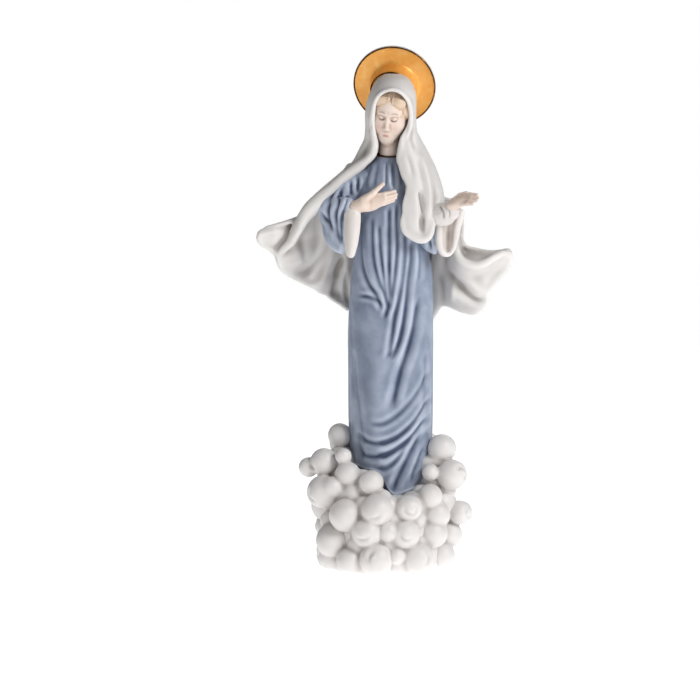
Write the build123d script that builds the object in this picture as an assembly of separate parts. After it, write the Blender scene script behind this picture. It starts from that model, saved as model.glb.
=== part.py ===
"""Porcelain figurine of a veiled standing woman with a halo, on a base of clouds.

The figurine is slip-cast in separate pieces that are luted together before firing.
Millimetres, +Z up, the figure faces -Y, and the origin is at the centre of the foot.
"Right" and "left" are the figure's own: its right hand is on the -X side.
"""

import os
from math import cos, pi, sin, sqrt

from build123d import *

# Driving dimensions
WALL = 4.0  # slip-cast wall of the hollow castings
SHEET = 3.0  # thickness of the veil
HOOD_WALL = 2.6  # thickness of the veil over the head
VENT_D = 3.2  # holes that let air out of the hollow castings in the kiln
BASE_R = 36.0  # foot of the cloud base
BASE_H = 45.0  # height at which the robe stands on the base
MIN_CHIP = 50.0  # smaller offcuts of a cloud ball, in cubic millimetres, are left off
FOOT_RING = 7.0  # width of the ring that the figurine stands on
FOOT_RECESS = 1.2  # the floor inside the foot ring stands this far off the table
WAIST_Z = 188.0  # joint between the skirt and the bodice
NECK_Z = 233.0  # top of the bodice
HEAD_H = 34.0  # chin to crown
HAIR_T = 1.0  # the hair stands this far off the skull
FACE_OPENING_C = (3.0, -16.0, 252.0)  # opening of the hood for the face
FACE_OPENING_R = (9.2, 19.5)
CHEST_OPENING_C = (-5.0, -16.0, 226.0)  # and for the chest
CHEST_OPENING_SIZE = (27.0, 22.0, 22.0)
HALO_R = 23.4
HALO_T = 2.0
HALO_EDGE = 1.4  # the rim's bead covers this much of the plate's edge
HALO_COLLAR_R = 12.6
HALO_COLLAR_L = 12.0

# The head bows and turns a little to its right, and the halo is square to it.
FACE_DIR = Vector(-0.160, -0.925, -0.345)
HEAD_UP = Vector(0.100, -0.330, 0.939)
HEAD_C = Vector(3.2, -3.5, 258.0)
HALO_C = Vector(5.6, 16.5, 272.88)

# Ellipses up the robe: height, centre x, centre y, half width, half depth
SKIRT = [
    (BASE_H, 4.2, -0.5, 20.5, 18.0),
    (66.0, 3.6, -0.5, 22.8, 19.5),
    (100.0, 3.3, -1.0, 23.6, 19.0),
    (140.0, 3.3, -0.5, 23.4, 17.5),
    (168.0, 3.6, 0.0, 21.6, 16.0),
    (WAIST_Z, 3.2, 0.0, 19.0, 14.5),
]
BODICE = [
    (WAIST_Z, 3.2, 0.0, 19.0, 14.5),
    (206.0, 2.6, -0.5, 18.6, 14.5),
    (218.0, 2.4, 0.0, 18.4, 12.8),
    (226.0, 2.2, 0.5, 14.0, 10.0),
    (230.5, 2.0, 0.5, 8.4, 7.6),
    (NECK_Z, 2.0, 0.5, 6.4, 6.2),
]

# Ellipses up the hood, laid out as for the skirt
HOOD = [
    (226.0, 3.6, 2.0, 25.0, 14.5),
    (231.0, 4.0, 2.0, 22.6, 14.0),
    (238.0, 4.0, 1.5, 18.4, 13.5),
    (246.0, 3.8, 0.0, 15.0, 14.5),
    (257.0, 3.4, -2.0, 14.2, 17.5),
    (268.0, 3.5, -3.0, 13.4, 18.0),
    (276.0, 3.6, -1.5, 10.4, 14.5),
    (280.0, 3.6, 0.0, 4.6, 6.5),
]
# Each row of a sheet runs from where it leaves the body out to its free edge.
VEIL_BACK = [
    [(-18, 7, 227), (-20, 14, 205), (-21, 18, 172), (-19, 20, 143)],
    [(-8, 13, 228), (-8, 19, 205), (-8, 22, 172), (-8, 23, 141)],
    [(4, 14, 229), (4, 20, 205), (4, 24, 172), (4, 24, 139)],
    [(16, 12, 228), (17, 18, 205), (18, 21, 172), (17, 22, 138)],
    [(25, 7, 226), (28, 13, 202), (28, 16, 172), (27, 17, 138)],
]
VEIL_RIGHT_WING = [
    [(-19, 3, 229), (-31, 0, 215), (-47, -1, 203), (-67, 0, 193)],
    [(-19, 6, 226), (-33, 5, 208), (-50, 6, 195), (-71.35, 3, 186)],
    [(-20, 10, 220), (-33, 11, 198), (-47, 12, 185), (-65, 7, 176)],
    [(-20, 14, 210), (-29, 16, 188), (-39, 17, 174), (-52, 12, 161)],
    [(-21, 17, 198), (-25, 20, 178), (-29, 20, 164), (-34, 17, 153)],
    [(-21.5, 18, 190), (-22, 20, 172), (-22, 21, 157), (-22, 20, 145)],
]
VEIL_LEFT_WING = [
    [(31, 4, 212), (37, -3, 207), (41, -6, 205), (43, -7, 203)],
    [(32, 8, 204), (38, 4, 196), (41, 1, 190), (44, -2, 184)],
    [(33, 10, 196), (42, 9, 186), (52, 7, 180), (66, 1, 180)],
    [(32, 12, 190), (43, 14, 180), (57, 13, 174), (72.44, 5, 174)],
    [(32, 14, 183), (42, 17, 171), (53, 16, 163), (63, 8, 160)],
    [(31, 15, 178), (38, 16, 165), (46, 14, 154), (55, 6, 148)],
    [(30, 16, 172), (33, 16, 160), (36, 15, 152), (41, 12, 146)],
]
VEIL_FRONT_DRAPE = [
    [(14, -7, 243), (12, -13, 226), (11, -17, 207), (12, -17.5, 192)],
    [(17, -6, 242), (17, -14, 226), (18, -19, 206), (18, -19, 187)],
    [(20, -4, 240), (23, -12, 226), (25, -17, 208), (25, -18, 191)],
    [(22, 0, 238), (28, -6, 224), (31, -11, 212), (32, -13, 203)],
    [(22, 5, 236), (29, 2, 224), (32, -1, 214), (33, -3, 208)],
]

# Cloud puffs that show from the front: x, height, radius
FRONT_PUFFS = [
    (-25.5, 77.0, 6.6),
    (-24.0, 67.0, 5.6),
    (-34.0, 62.0, 7.6),
    (-42.0, 58.5, 5.5),
    (-20.5, 56.0, 7.4),
    (-35.5, 45.5, 9.4),
    (-8.0, 52.0, 6.2),
    (-16.5, 46.0, 5.0),
    (-23.5, 35.5, 9.0),
    (-4.0, 38.0, 9.0),
    (-34.0, 29.0, 7.5),
    (-9.5, 24.5, 8.6),
    (-29.0, 19.0, 9.2),
    (-5.0, 9.8, 9.0),
    (-18.5, 9.0, 7.2),
    (-31.0, 7.5, 7.0),
    (14.5, 37.0, 7.6),
    (25.5, 44.0, 6.8),
    (27.0, 35.0, 7.4),
    (32.0, 70.0, 7.6),
    (25.5, 56.0, 5.0),
    (38.0, 56.0, 8.4),
    (34.5, 43.0, 7.2),
    (41.8, 33.5, 7.0),
    (2.5, 24.5, 6.2),
    (11.5, 24.5, 8.2),
    (26.0, 24.5, 7.8),
    (36.5, 22.0, 7.4),
    (6.5, 9.5, 6.0),
    (17.5, 10.2, 9.0),
    (31.0, 10.5, 7.8),
]
# Rows of puffs round the sides and back: height, ring radius, puff radius, count
BACK_ROWS = [
    (9.5, 33.5, 8.6, 10),
    (25.0, 35.0, 8.8, 10),
    (41.0, 34.5, 9.2, 9),
    (57.0, 30.5, 8.9, 8),
    (70.5, 27.5, 7.6, 7),
]
BACK_SWEEP = 226.0  # degrees of arc that the rows cover, centred on the back


def unit(v):
    return v * (1 / v.length)


def ellipse_at(origin, z_dir, x_dir, a, b):
    return Plane(origin=origin, x_dir=x_dir, z_dir=z_dir) * Ellipse(a, b)


def upright_loft(sections, inset=0.0):
    """A solid through level ellipses, each inset by the same amount."""
    return loft([Pos(x, y, z) * Ellipse(a - inset, b - inset) for z, x, y, a, b in sections])


def hollow(sections):
    """A closed hollow casting, with a vent through its floor and its top."""
    z0, z1 = sections[0][0], sections[-1][0]
    inner = [s for s in sections if z0 + WALL < s[0] < z1 - WALL]
    low = (z0 + WALL, *sections[0][1:])
    high = (z1 - WALL, *sections[-1][1:])
    cavity = upright_loft([low, *inner, high], inset=WALL)
    vent = Pos(0, 0, (z0 + z1) / 2) * Cylinder(VENT_D / 2, z1 - z0 + 2)
    return upright_loft(sections) - cavity - vent


def limb(stations):
    """A solid through ellipses square to a path: point, half width, half height.
    The height of each ellipse is measured as near to upright as its plane allows."""
    points = [Vector(*s[0]) for s in stations]
    faces = []
    for i, (_, a, b) in enumerate(stations):
        ahead = points[min(i + 1, len(points) - 1)] - points[max(i - 1, 0)]
        across = Vector(0, 0, 1).cross(unit(ahead))
        faces.append(ellipse_at(points[i], unit(ahead), unit(across), a, b))
    return loft(faces)


def capsule(p, q, r):
    """A rod from p to q with round ends."""
    p, q = Vector(*p), Vector(*q)
    rod = Plane(origin=(p + q) * 0.5, z_dir=q - p) * Cylinder(r, (q - p).length)
    return rod + Pos(*p) * Sphere(r) + Pos(*q) * Sphere(r)


def thick_sheet(rows):
    """A sheet with one of its two surfaces through rows of points."""
    face = Face.make_surface_from_array_of_points([[Vector(*p) for p in row] for row in rows])
    return Solid.thicken(face, SHEET)


def trimmed(part, *neighbours):
    """The part where no neighbour is, without the offcuts."""
    for n in neighbours:
        part = part - n
    return max(part.solids(), key=lambda s: s.volume)


# --- Cloud base -------------------------------------------------------------------


def cloud_base():
    outline = Polyline(
        (0, FOOT_RECESS),
        (BASE_R - FOOT_RING, FOOT_RECESS),
        (BASE_R - FOOT_RING, 0),
        (BASE_R - 0.5, 0),
        (BASE_R + 1.0, 5),
        (BASE_R, 26),
        (BASE_R - 5, BASE_H),
        (0, BASE_H),
        close=True,
    )
    body = revolve(Plane.XZ * make_face(outline), Axis.Z)
    inner = Polyline(
        (0, FOOT_RECESS + WALL),
        (BASE_R - WALL - 1, FOOT_RECESS + WALL),
        (BASE_R - WALL, 26),
        (BASE_R - WALL - 5, BASE_H - WALL),
        (0, BASE_H - WALL),
        close=True,
    )
    cavity = revolve(Plane.XZ * make_face(inner), Axis.Z)
    vent = Pos(0, 0, BASE_H / 2) * Cylinder(VENT_D / 2, BASE_H + 2)
    return body - cavity - vent


def front_puff_centre(x, z, r):
    """Places a puff on the front of the base, with its centre just under the surface."""
    ring = BASE_R + 1.0 if z < BASE_H else BASE_R - 4.0
    ring -= 0.25 * r
    return (x, -sqrt(max(ring * ring - x * x, 0.0)), z)


def back_row(row, height, ring, size, count):
    """Puffs round the sides and back at one height, each row half a step on from the last."""
    step = BACK_SWEEP / count
    start = 90 - BACK_SWEEP / 2 + (row % 2 + 0.5) * step / 2
    found = []
    for k in range(count):
        angle = (start + k * step) * pi / 180
        swell = 0.7 * sin(5 * angle + 2 * row)
        found.append((ring * cos(angle), ring * sin(angle), height + cos(4 * angle), size + swell))
    return found


def cloud_puffs():
    """The puffs by casting: x, y, height and radius of each."""
    front = [(*front_puff_centre(x, z, r), r) for x, z, r in FRONT_PUFFS]
    low, middle, high, upper, top = [back_row(i, *row) for i, row in enumerate(BACK_ROWS)]
    return {
        "cloud_puffs_front_right": [p for p in front if p[0] < 0],
        "cloud_puffs_front_left": [p for p in front if p[0] >= 0],
        "cloud_puffs_back_low": low,
        "cloud_puffs_back_middle": middle,
        "cloud_puffs_back_high": high,
        "cloud_puffs_back_upper": upper,
        "cloud_puffs_back_top": top,
    }


def ball(x, y, z, r):
    """A ball whose poles lie along a radius of the base, with its seam to one side."""
    return Plane(origin=(x, y, z), z_dir=(x, y, -r), x_dir=(-y, x, 0)) * Sphere(r)


def puff_casting(puffs, base, skirt, earlier):
    """One casting of fused balls, cut to fit the base, the skirt and the earlier balls."""
    balls = [ball(*p) for p in puffs]
    body = balls[0].fuse(*balls[1:]) - base - skirt - Pos(0, 0, -20) * Box(200, 200, 40)
    for x, y, z, r in earlier:
        if any((Vector(x, y, z) - Vector(*p[:3])).length < r + p[3] for p in puffs):
            body = body - ball(x, y, z, r)
    return Compound([s for s in body.solids() if s.volume > MIN_CHIP])


# --- Head, veil and halo ------------------------------------------------------------


def head_point(across, ahead, up):
    """A point in the head's own frame: to its left, forwards and up from its middle."""
    return HEAD_C + unit(HEAD_UP.cross(FACE_DIR)) * across + FACE_DIR * ahead + HEAD_UP * up


def head_loft(sections):
    """Ellipses square to the head's axis: up, ahead, half width, half depth."""
    side = unit(HEAD_UP.cross(FACE_DIR))
    return loft(
        [ellipse_at(head_point(0, ahead, up), HEAD_UP, side, a, b) for up, ahead, a, b in sections]
    )


def skull(growth=0.0):
    half = HEAD_H / 2
    sections = [
        (-half, 5.0, 3.2, 3.0),
        (-0.6 * half, 3.0, 7.6, 9.4),
        (-0.2 * half, 1.0, 9.8, 12.2),
        (0.3 * half, 0.0, 10.8, 13.4),
        (0.7 * half, 0.0, 9.2, 11.4),
        (0.98 * half + growth, 0.0, 3.0, 4.0),
    ]
    return head_loft([(up, ahead, a + growth, b + growth) for up, ahead, a, b in sections])


def head_and_neck():
    neck = limb(
        [
            ((2.0, 0.5, NECK_Z - 1.5), 5.6, 5.4),
            ((2.2, -0.5, 240.0), 5.2, 5.2),
            ((2.8, -2.5, 250.0), 5.6, 5.6),
        ]
    )
    return skull() + neck


def hair():
    """A cap of hair on the skull, cut away round the face and below the ears."""
    side = unit(HEAD_UP.cross(FACE_DIR))
    face = ellipse_at(head_point(0, 14, -5.0), FACE_DIR, side, 8.6, 14.5)
    below = Plane(origin=head_point(0, 0, -5.0), x_dir=side, z_dir=-HEAD_UP)
    behind = Plane(origin=head_point(0, 2.0, 0), x_dir=side, z_dir=-FACE_DIR)
    offcuts = [Part() + extrude(plane * Rectangle(60, 60), 40) for plane in (below, behind)]
    return skull(growth=HAIR_T) - extrude(face, 12, both=True) - offcuts[0] - offcuts[1]


def veil_hood():
    """The part of the veil over the head and shoulders, open at the face and the chest."""
    outer = upright_loft(HOOD)
    low, *middle, top = HOOD
    below = (low[0] - 1, *low[1:])
    crown = (top[0] - HOOD_WALL, *top[1:3], top[3] + HOOD_WALL, top[4] + HOOD_WALL)
    cavity = upright_loft([below, *middle, crown], inset=HOOD_WALL)
    face_plane = Pos(*FACE_OPENING_C) * Rot(90, 0, 0)
    face_opening = face_plane * extrude(Ellipse(*FACE_OPENING_R), 14, both=True)
    chest_opening = Pos(*CHEST_OPENING_C) * Box(*CHEST_OPENING_SIZE)
    return outer - cavity - face_opening - chest_opening


def halo_frame():
    across = Vector(0, 0, 1).cross(FACE_DIR)
    return Plane(origin=HALO_C, x_dir=unit(across), z_dir=FACE_DIR)


def halo_turned(outline):
    """A ring or plate turned about the halo's axis, from (radius, height) points."""
    profile = make_face(Polyline(*outline, close=True))
    return halo_frame() * revolve(Plane.XZ * profile, Axis.Z)


def halo_disc():
    edge = HALO_R - HALO_EDGE
    return halo_turned([(0, -HALO_T / 2), (edge, -0.2), (edge, HALO_T - 0.4), (0, HALO_T / 2)])


def halo_collar():
    root = HALO_COLLAR_R + 1.4
    return halo_turned(
        [
            (HALO_COLLAR_R - 1.2, HALO_T / 2),
            (root, HALO_T / 2 + 0.2),
            (HALO_COLLAR_R + 0.3, 4.0),
            (HALO_COLLAR_R - 0.4, HALO_COLLAR_L),
            (HALO_COLLAR_R - 2.2, HALO_COLLAR_L),
        ]
    )


def halo_rim():
    bead = Pos(HALO_R - 0.7, 0.6) * Circle(1.05)
    return halo_frame() * revolve(Plane.XZ * bead, Axis.Z)


# --- Arms ------------------------------------------------------------------------------


def right_sleeve():
    upper = limb(
        [((-8, 1, 219), 8.0, 8.5), ((-20, 0, 215), 7.6, 8.0), ((-31, -3, 204.5), 6.4, 7.6)]
    )
    bell = limb(
        [
            ((-34, -3, 203), 5.0, 6.0),
            ((-30, -6, 200), 5.6, 10.0),
            ((-24, -11, 194), 5.0, 14.5),
            ((-19.5, -15, 191.5), 3.6, 15.8),
        ]
    )
    return upper + bell


def right_cuff():
    """The pale lining that shows at the mouth of the sleeve, down to its rounded point."""
    return limb(
        [
            ((-20.0, -17.5, 204.0), 3.4, 2.8),
            ((-18.6, -18.0, 196.0), 3.0, 4.4),
            ((-18.4, -18.4, 188.0), 2.8, 4.4),
            ((-18.8, -18.0, 177.5), 1.8, 2.6),
        ]
    )


def hand(wrist, palm, knuckles, fingertips, thumb, sizes):
    """A palm between wrist and knuckles, with four fingers side by side and a thumb."""
    wrist_r, palm_w, palm_t, finger_r = sizes
    palm_part = limb(
        [(wrist, wrist_r, wrist_r), (palm, palm_t, palm_w), (knuckles[0], palm_t * 0.8, palm_w * 0.9)]
    )
    spread = Vector(*knuckles[1]) - Vector(*knuckles[0])
    fingers = []
    for k in range(4):
        root = Vector(*knuckles[0]) + spread * (k / 3 - 0.5)
        tip = Vector(*fingertips[0]) + (Vector(*fingertips[1]) - Vector(*fingertips[0])) * (k / 3)
        fingers.append(capsule(tuple(root), tuple(tip), finger_r))
    return palm_part + fingers + capsule(thumb[0], thumb[1], finger_r * 1.05)


def right_hand():
    return hand(
        wrist=(-19.0, -17.6, 205.0),
        palm=(-10.0, -19.0, 207.6),
        knuckles=[(-5.0, -18.8, 209.0), (-4.0, -18.8, 202.6)],
        fingertips=[(5.6, -18.2, 213.0), (4.6, -18.0, 206.6)],
        thumb=[(-9.0, -19.2, 210.5), (-2.2, -18.6, 217.4)],
        sizes=(3.0, 4.0, 2.0, 1.25),
    )


def left_sleeve():
    upper = limb(
        [((14, 1, 219), 8.0, 8.5), ((21, -1, 210), 7.0, 7.5), ((26, -6, 196), 6.0, 7.0)]
    )
    bell = limb(
        [
            ((22.5, -7, 193), 4.6, 7.5),
            ((27, -10.5, 191), 4.6, 10.5),
            ((31, -14.5, 189.5), 3.6, 12.5),
        ]
    )
    return upper + bell


def left_cuff():
    return limb(
        [
            ((31.5, -15.5, 203.0), 3.0, 2.4),
            ((31.8, -16.4, 194.0), 3.0, 2.8),
            ((32.0, -16.6, 186.0), 2.6, 2.6),
            ((33.2, -16.0, 177.5), 1.6, 1.8),
        ]
    )


def left_forearm():
    """The close inner sleeve from under the veil to the wrist."""
    return limb(
        [((25.5, -9.5, 196.5), 5.0, 5.2), ((31.5, -16.5, 201.0), 4.8, 5.0), ((37.5, -22.5, 206.0), 4.0, 4.1)]
    )


def left_hand():
    return hand(
        wrist=(36.0, -21.5, 205.6),
        palm=(42.0, -26.5, 208.8),
        knuckles=[(45.0, -28.6, 209.8), (45.0, -27.0, 214.2)],
        fingertips=[(51.4, -31.6, 212.8), (50.4, -35.6, 212.4)],
        thumb=[(40.5, -24.5, 211.2), (47.6, -25.4, 214.2)],
        sizes=(3.0, 3.4, 1.9, 1.15),
    )


def collar_band():
    outer = Pos(2.0, 0.5, NECK_Z + 0.4) * Ellipse(7.2, 7.0)
    inner = Pos(2.0, 0.5, NECK_Z + 0.4) * Ellipse(5.2, 5.0)
    return extrude(outer - inner, 1.1, both=True)


# --- Assembly --------------------------------------------------------------------------


def build():
    nodes = {"cloud_base": cloud_base()}
    nodes["robe_skirt"] = skirt = hollow(SKIRT)
    nodes["robe_bodice"] = hollow(BODICE)
    solid_skirt, solid_bodice = upright_loft(SKIRT), upright_loft(BODICE)
    robe = (solid_skirt, solid_bodice)

    placed = []
    for name, puffs in cloud_puffs().items():
        nodes[name] = puff_casting(puffs, nodes["cloud_base"], solid_skirt, placed)
        placed += puffs

    head = trimmed(head_and_neck(), solid_bodice)
    nodes["head"] = head
    band = trimmed(collar_band(), head, solid_bodice)
    nodes["collar_band"] = band
    nodes["hair"] = locks = trimmed(hair(), head)

    nodes["right_sleeve"] = r_sleeve = trimmed(right_sleeve(), *robe)
    nodes["right_hand"] = r_hand = trimmed(right_hand(), *robe, r_sleeve)
    nodes["right_cuff"] = r_cuff = trimmed(right_cuff(), *robe, r_sleeve, r_hand)
    nodes["left_sleeve"] = l_sleeve = trimmed(left_sleeve(), *robe)
    nodes["left_forearm"] = l_arm = trimmed(left_forearm(), *robe, l_sleeve)
    nodes["left_hand"] = l_hand = trimmed(left_hand(), l_arm, l_sleeve)
    nodes["left_cuff"] = l_cuff = trimmed(left_cuff(), *robe, l_sleeve, l_arm, l_hand)

    inside = (*robe, head, locks, band)
    hood = trimmed(veil_hood(), *inside, r_sleeve, l_sleeve)
    nodes["veil_hood"] = hood
    back = trimmed(thick_sheet(VEIL_BACK), hood, *robe, r_sleeve, l_sleeve)
    nodes["veil_back"] = back
    right_wing = trimmed(thick_sheet(VEIL_RIGHT_WING), hood, back, *robe, r_sleeve)
    nodes["veil_right_wing"] = right_wing
    drape = trimmed(thick_sheet(VEIL_FRONT_DRAPE), hood, *robe, l_sleeve, l_arm, l_cuff, head)
    nodes["veil_front_drape"] = drape
    arm = (l_sleeve, l_arm, l_cuff, l_hand)
    left_wing = trimmed(thick_sheet(VEIL_LEFT_WING), hood, back, drape, *robe, *arm)
    nodes["veil_left_wing"] = left_wing

    veil = (hood, back, right_wing, drape, left_wing)
    disc = trimmed(halo_disc(), *veil, head)
    nodes["halo_disc"] = disc
    nodes["halo_collar"] = collar = trimmed(halo_collar(), disc, *veil, head)
    nodes["halo_rim"] = trimmed(halo_rim(), disc, collar, *veil)
    return nodes


def main():
    os.makedirs("parts", exist_ok=True)
    for name, part in build().items():
        export_step(part, f"parts/{name}.step")


main()
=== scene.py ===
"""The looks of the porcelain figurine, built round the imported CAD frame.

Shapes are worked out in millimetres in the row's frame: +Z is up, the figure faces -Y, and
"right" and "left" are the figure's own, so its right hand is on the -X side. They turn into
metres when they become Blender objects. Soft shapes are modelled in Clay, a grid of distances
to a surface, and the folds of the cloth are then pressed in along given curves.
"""

import math

import bpy
import numpy as np
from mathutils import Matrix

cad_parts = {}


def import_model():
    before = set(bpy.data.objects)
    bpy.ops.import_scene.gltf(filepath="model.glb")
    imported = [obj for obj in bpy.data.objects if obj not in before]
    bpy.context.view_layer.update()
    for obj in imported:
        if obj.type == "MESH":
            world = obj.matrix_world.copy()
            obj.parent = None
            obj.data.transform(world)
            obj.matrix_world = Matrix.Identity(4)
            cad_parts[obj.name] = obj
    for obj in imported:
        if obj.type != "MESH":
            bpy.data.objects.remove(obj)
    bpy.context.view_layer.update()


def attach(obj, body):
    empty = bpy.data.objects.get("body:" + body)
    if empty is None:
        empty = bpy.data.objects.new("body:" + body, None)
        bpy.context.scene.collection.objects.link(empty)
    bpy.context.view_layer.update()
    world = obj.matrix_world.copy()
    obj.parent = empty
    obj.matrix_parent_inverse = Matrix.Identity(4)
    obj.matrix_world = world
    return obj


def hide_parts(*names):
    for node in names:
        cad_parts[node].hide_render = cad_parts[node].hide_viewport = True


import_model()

import openvdb as vdb
from mathutils import Vector

MM = 0.001
COARSE = 1.0


# --- Curves, sheets and tubes ---------------------------------------------------------------------


def curve(points, count):
    """count points along a smooth curve through the given points (Catmull-Rom)."""
    p = np.asarray(points, float)
    padded = np.concatenate([2 * p[:1] - p[1:2], p, 2 * p[-1:] - p[-2:-1]])
    t = np.linspace(0, len(p) - 1, count)
    i = np.minimum(t.astype(int), len(p) - 2)
    u = (t - i).reshape((-1,) + (1,) * (p.ndim - 1))
    a, b, c, d = (padded[i + k] for k in range(4))
    return 0.5 * (2 * b + (c - a) * u + (2 * a - 5 * b + 4 * c - d) * u**2 + (3 * b - a - 3 * c + d) * u**3)


def unit(v):
    """Vectors at length 1."""
    return v / np.maximum(np.linalg.norm(v, axis=-1, keepdims=True), 1e-9)


def smoothstep(t):
    """0 up to t = 0, 1 from t = 1, and smooth between."""
    t = np.clip(t, 0.0, 1.0)
    return t * t * (3 - 2 * t)


def grid_quads(rows, cols, wrap=False):
    """Quads over a grid of points in row order, joined round the columns if wrap."""
    r = np.arange(rows - 1)[:, None]
    c = np.arange(cols if wrap else cols - 1)[None, :]
    n = (c + 1) % cols
    corners = (r * cols + c, r * cols + n, (r + 1) * cols + n, (r + 1) * cols + c)
    return np.stack([np.broadcast_to(k, (rows - 1, c.shape[1])) for k in corners], -1).reshape(-1, 4)


def sheet(rows, thickness, across=90, along=110):
    """A closed sheet whose middle runs smoothly through rows of points."""
    net = curve(rows, int(across / COARSE))
    net = curve(net.transpose(1, 0, 2), int(along / COARSE)).transpose(1, 0, 2)
    return thickened(net, thickness)


def thickened(net, thickness):
    """A closed sheet whose middle is a net of points."""
    across, along = net.shape[:2]
    normal = unit(np.cross(np.gradient(net, axis=0), np.gradient(net, axis=1)))
    top = (net + normal * thickness / 2).reshape(-1, 3)
    under = (net - normal * thickness / 2).reshape(-1, 3)
    quads = grid_quads(across, along)
    index = np.arange(across * along).reshape(across, along)
    rim = np.concatenate([index[0], index[1:, -1], index[-1, -2::-1], index[-2:0:-1, 0]])
    turn = np.roll(rim, -1)
    n = across * along
    edge = np.stack([rim, rim + n, turn + n, turn], -1)
    return np.concatenate([top, under]), np.concatenate([quads, quads[:, ::-1] + n, edge])


def turns(count):
    """Angles once round, in even steps."""
    return np.linspace(0, 2 * math.pi, count, endpoint=False)


def capped(rings):
    """A closed skin over rings of points, with a fan of triangles to the middle of each end."""
    rows, count = rings.shape[:2]
    n = rows * count
    first = np.arange(count)
    last = first + n - count
    tris = np.concatenate([
        np.stack([np.roll(first, -1), first, np.full(count, n)], -1),
        np.stack([last, np.roll(last, -1), np.full(count, n + 1)], -1),
    ])
    verts = np.concatenate([rings.reshape(-1, 3), [rings[0].mean(0)], [rings[-1].mean(0)]])
    return verts, grid_quads(rows, count, wrap=True), tris


def joined(rings):
    """A closed skin over rings of points, the last of them joined to the first."""
    rows, count = rings.shape[:2]
    return rings.reshape(-1, 3), grid_quads(rows + 1, count, wrap=True) % (rows * count)


def tube(stations, count=28):
    """A closed tube through ellipses square to a path: point, half width, half height.
    The height of each ellipse is measured as near to upright as its plane allows."""
    data = curve([(*p, a, b) for p, a, b in stations], max(4 * len(stations), 12))
    ahead = unit(np.gradient(data[:, :3], axis=0))
    side = unit(np.cross((0.0, 0.0, 1.0), ahead))
    up = np.cross(ahead, side)
    ends = np.concatenate([data[:1], data, data[-1:]])
    ends[[0, -1], 3:] *= 0.45
    ends[0, :3] -= ahead[0] * data[0, 3:].min() * 0.55
    ends[-1, :3] += ahead[-1] * data[-1, 3:].min() * 0.55
    side = np.concatenate([side[:1], side, side[-1:]])
    up = np.concatenate([up[:1], up, up[-1:]])
    angle = turns(count)[:, None]
    rings = ends[:, None, :3] + side[:, None] * (ends[:, None, 3:4] * np.cos(angle))
    return capped(rings + up[:, None] * (ends[:, None, 4:5] * np.sin(angle)))


def level_loft(sections, inset=0.0, count=64):
    """A closed skin through level ellipses, each inset by the same amount."""
    data = curve(sections, 60)
    angle = turns(count)
    z, cx, cy, a, b = (data[:, k, None] for k in range(5))
    a, b = np.maximum(a - inset, 0.4), np.maximum(b - inset, 0.4)
    return capped(np.stack([cx + a * np.cos(angle), cy + b * np.sin(angle), z + 0 * angle], -1))


def block(outline, low, high):
    """A prism along Y between two depths, through an outline of points (x, z)."""
    x, z = curve([*outline, outline[0]], 10 * len(outline))[:-1].T
    return capped(np.stack([np.stack([x, np.full(len(x), y), z], -1) for y in (low, high)]))


def hoop(points, r, around=10):
    """A closed tube of radius r along a closed loop of points."""
    ahead = unit(np.roll(points, -1, axis=0) - np.roll(points, 1, axis=0))
    out = unit(np.cross(ahead, unit(np.cross(ahead, points - points.mean(0)))))
    side = np.cross(ahead, out)
    angle = turns(around)[:, None]
    return joined(points[:, None] + r * (out[:, None] * np.cos(angle) + side[:, None] * np.sin(angle)))


def fan(root, edge, across, along, swell):
    """A net of points from a root curve out to a free edge. swell(t, s) moves each point
    forwards, where t runs along the edge and s from the root out to the edge."""
    a, b = curve(root, along), curve(edge, along)
    s = np.linspace(0, 1, across)[:, None]
    t = np.linspace(0, 1, along)[None, :]
    net = a + (b - a) * s[..., None]
    net[..., 1] -= swell(t, s)
    return net


# --- Clay -----------------------------------------------------------------------------------------


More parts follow.
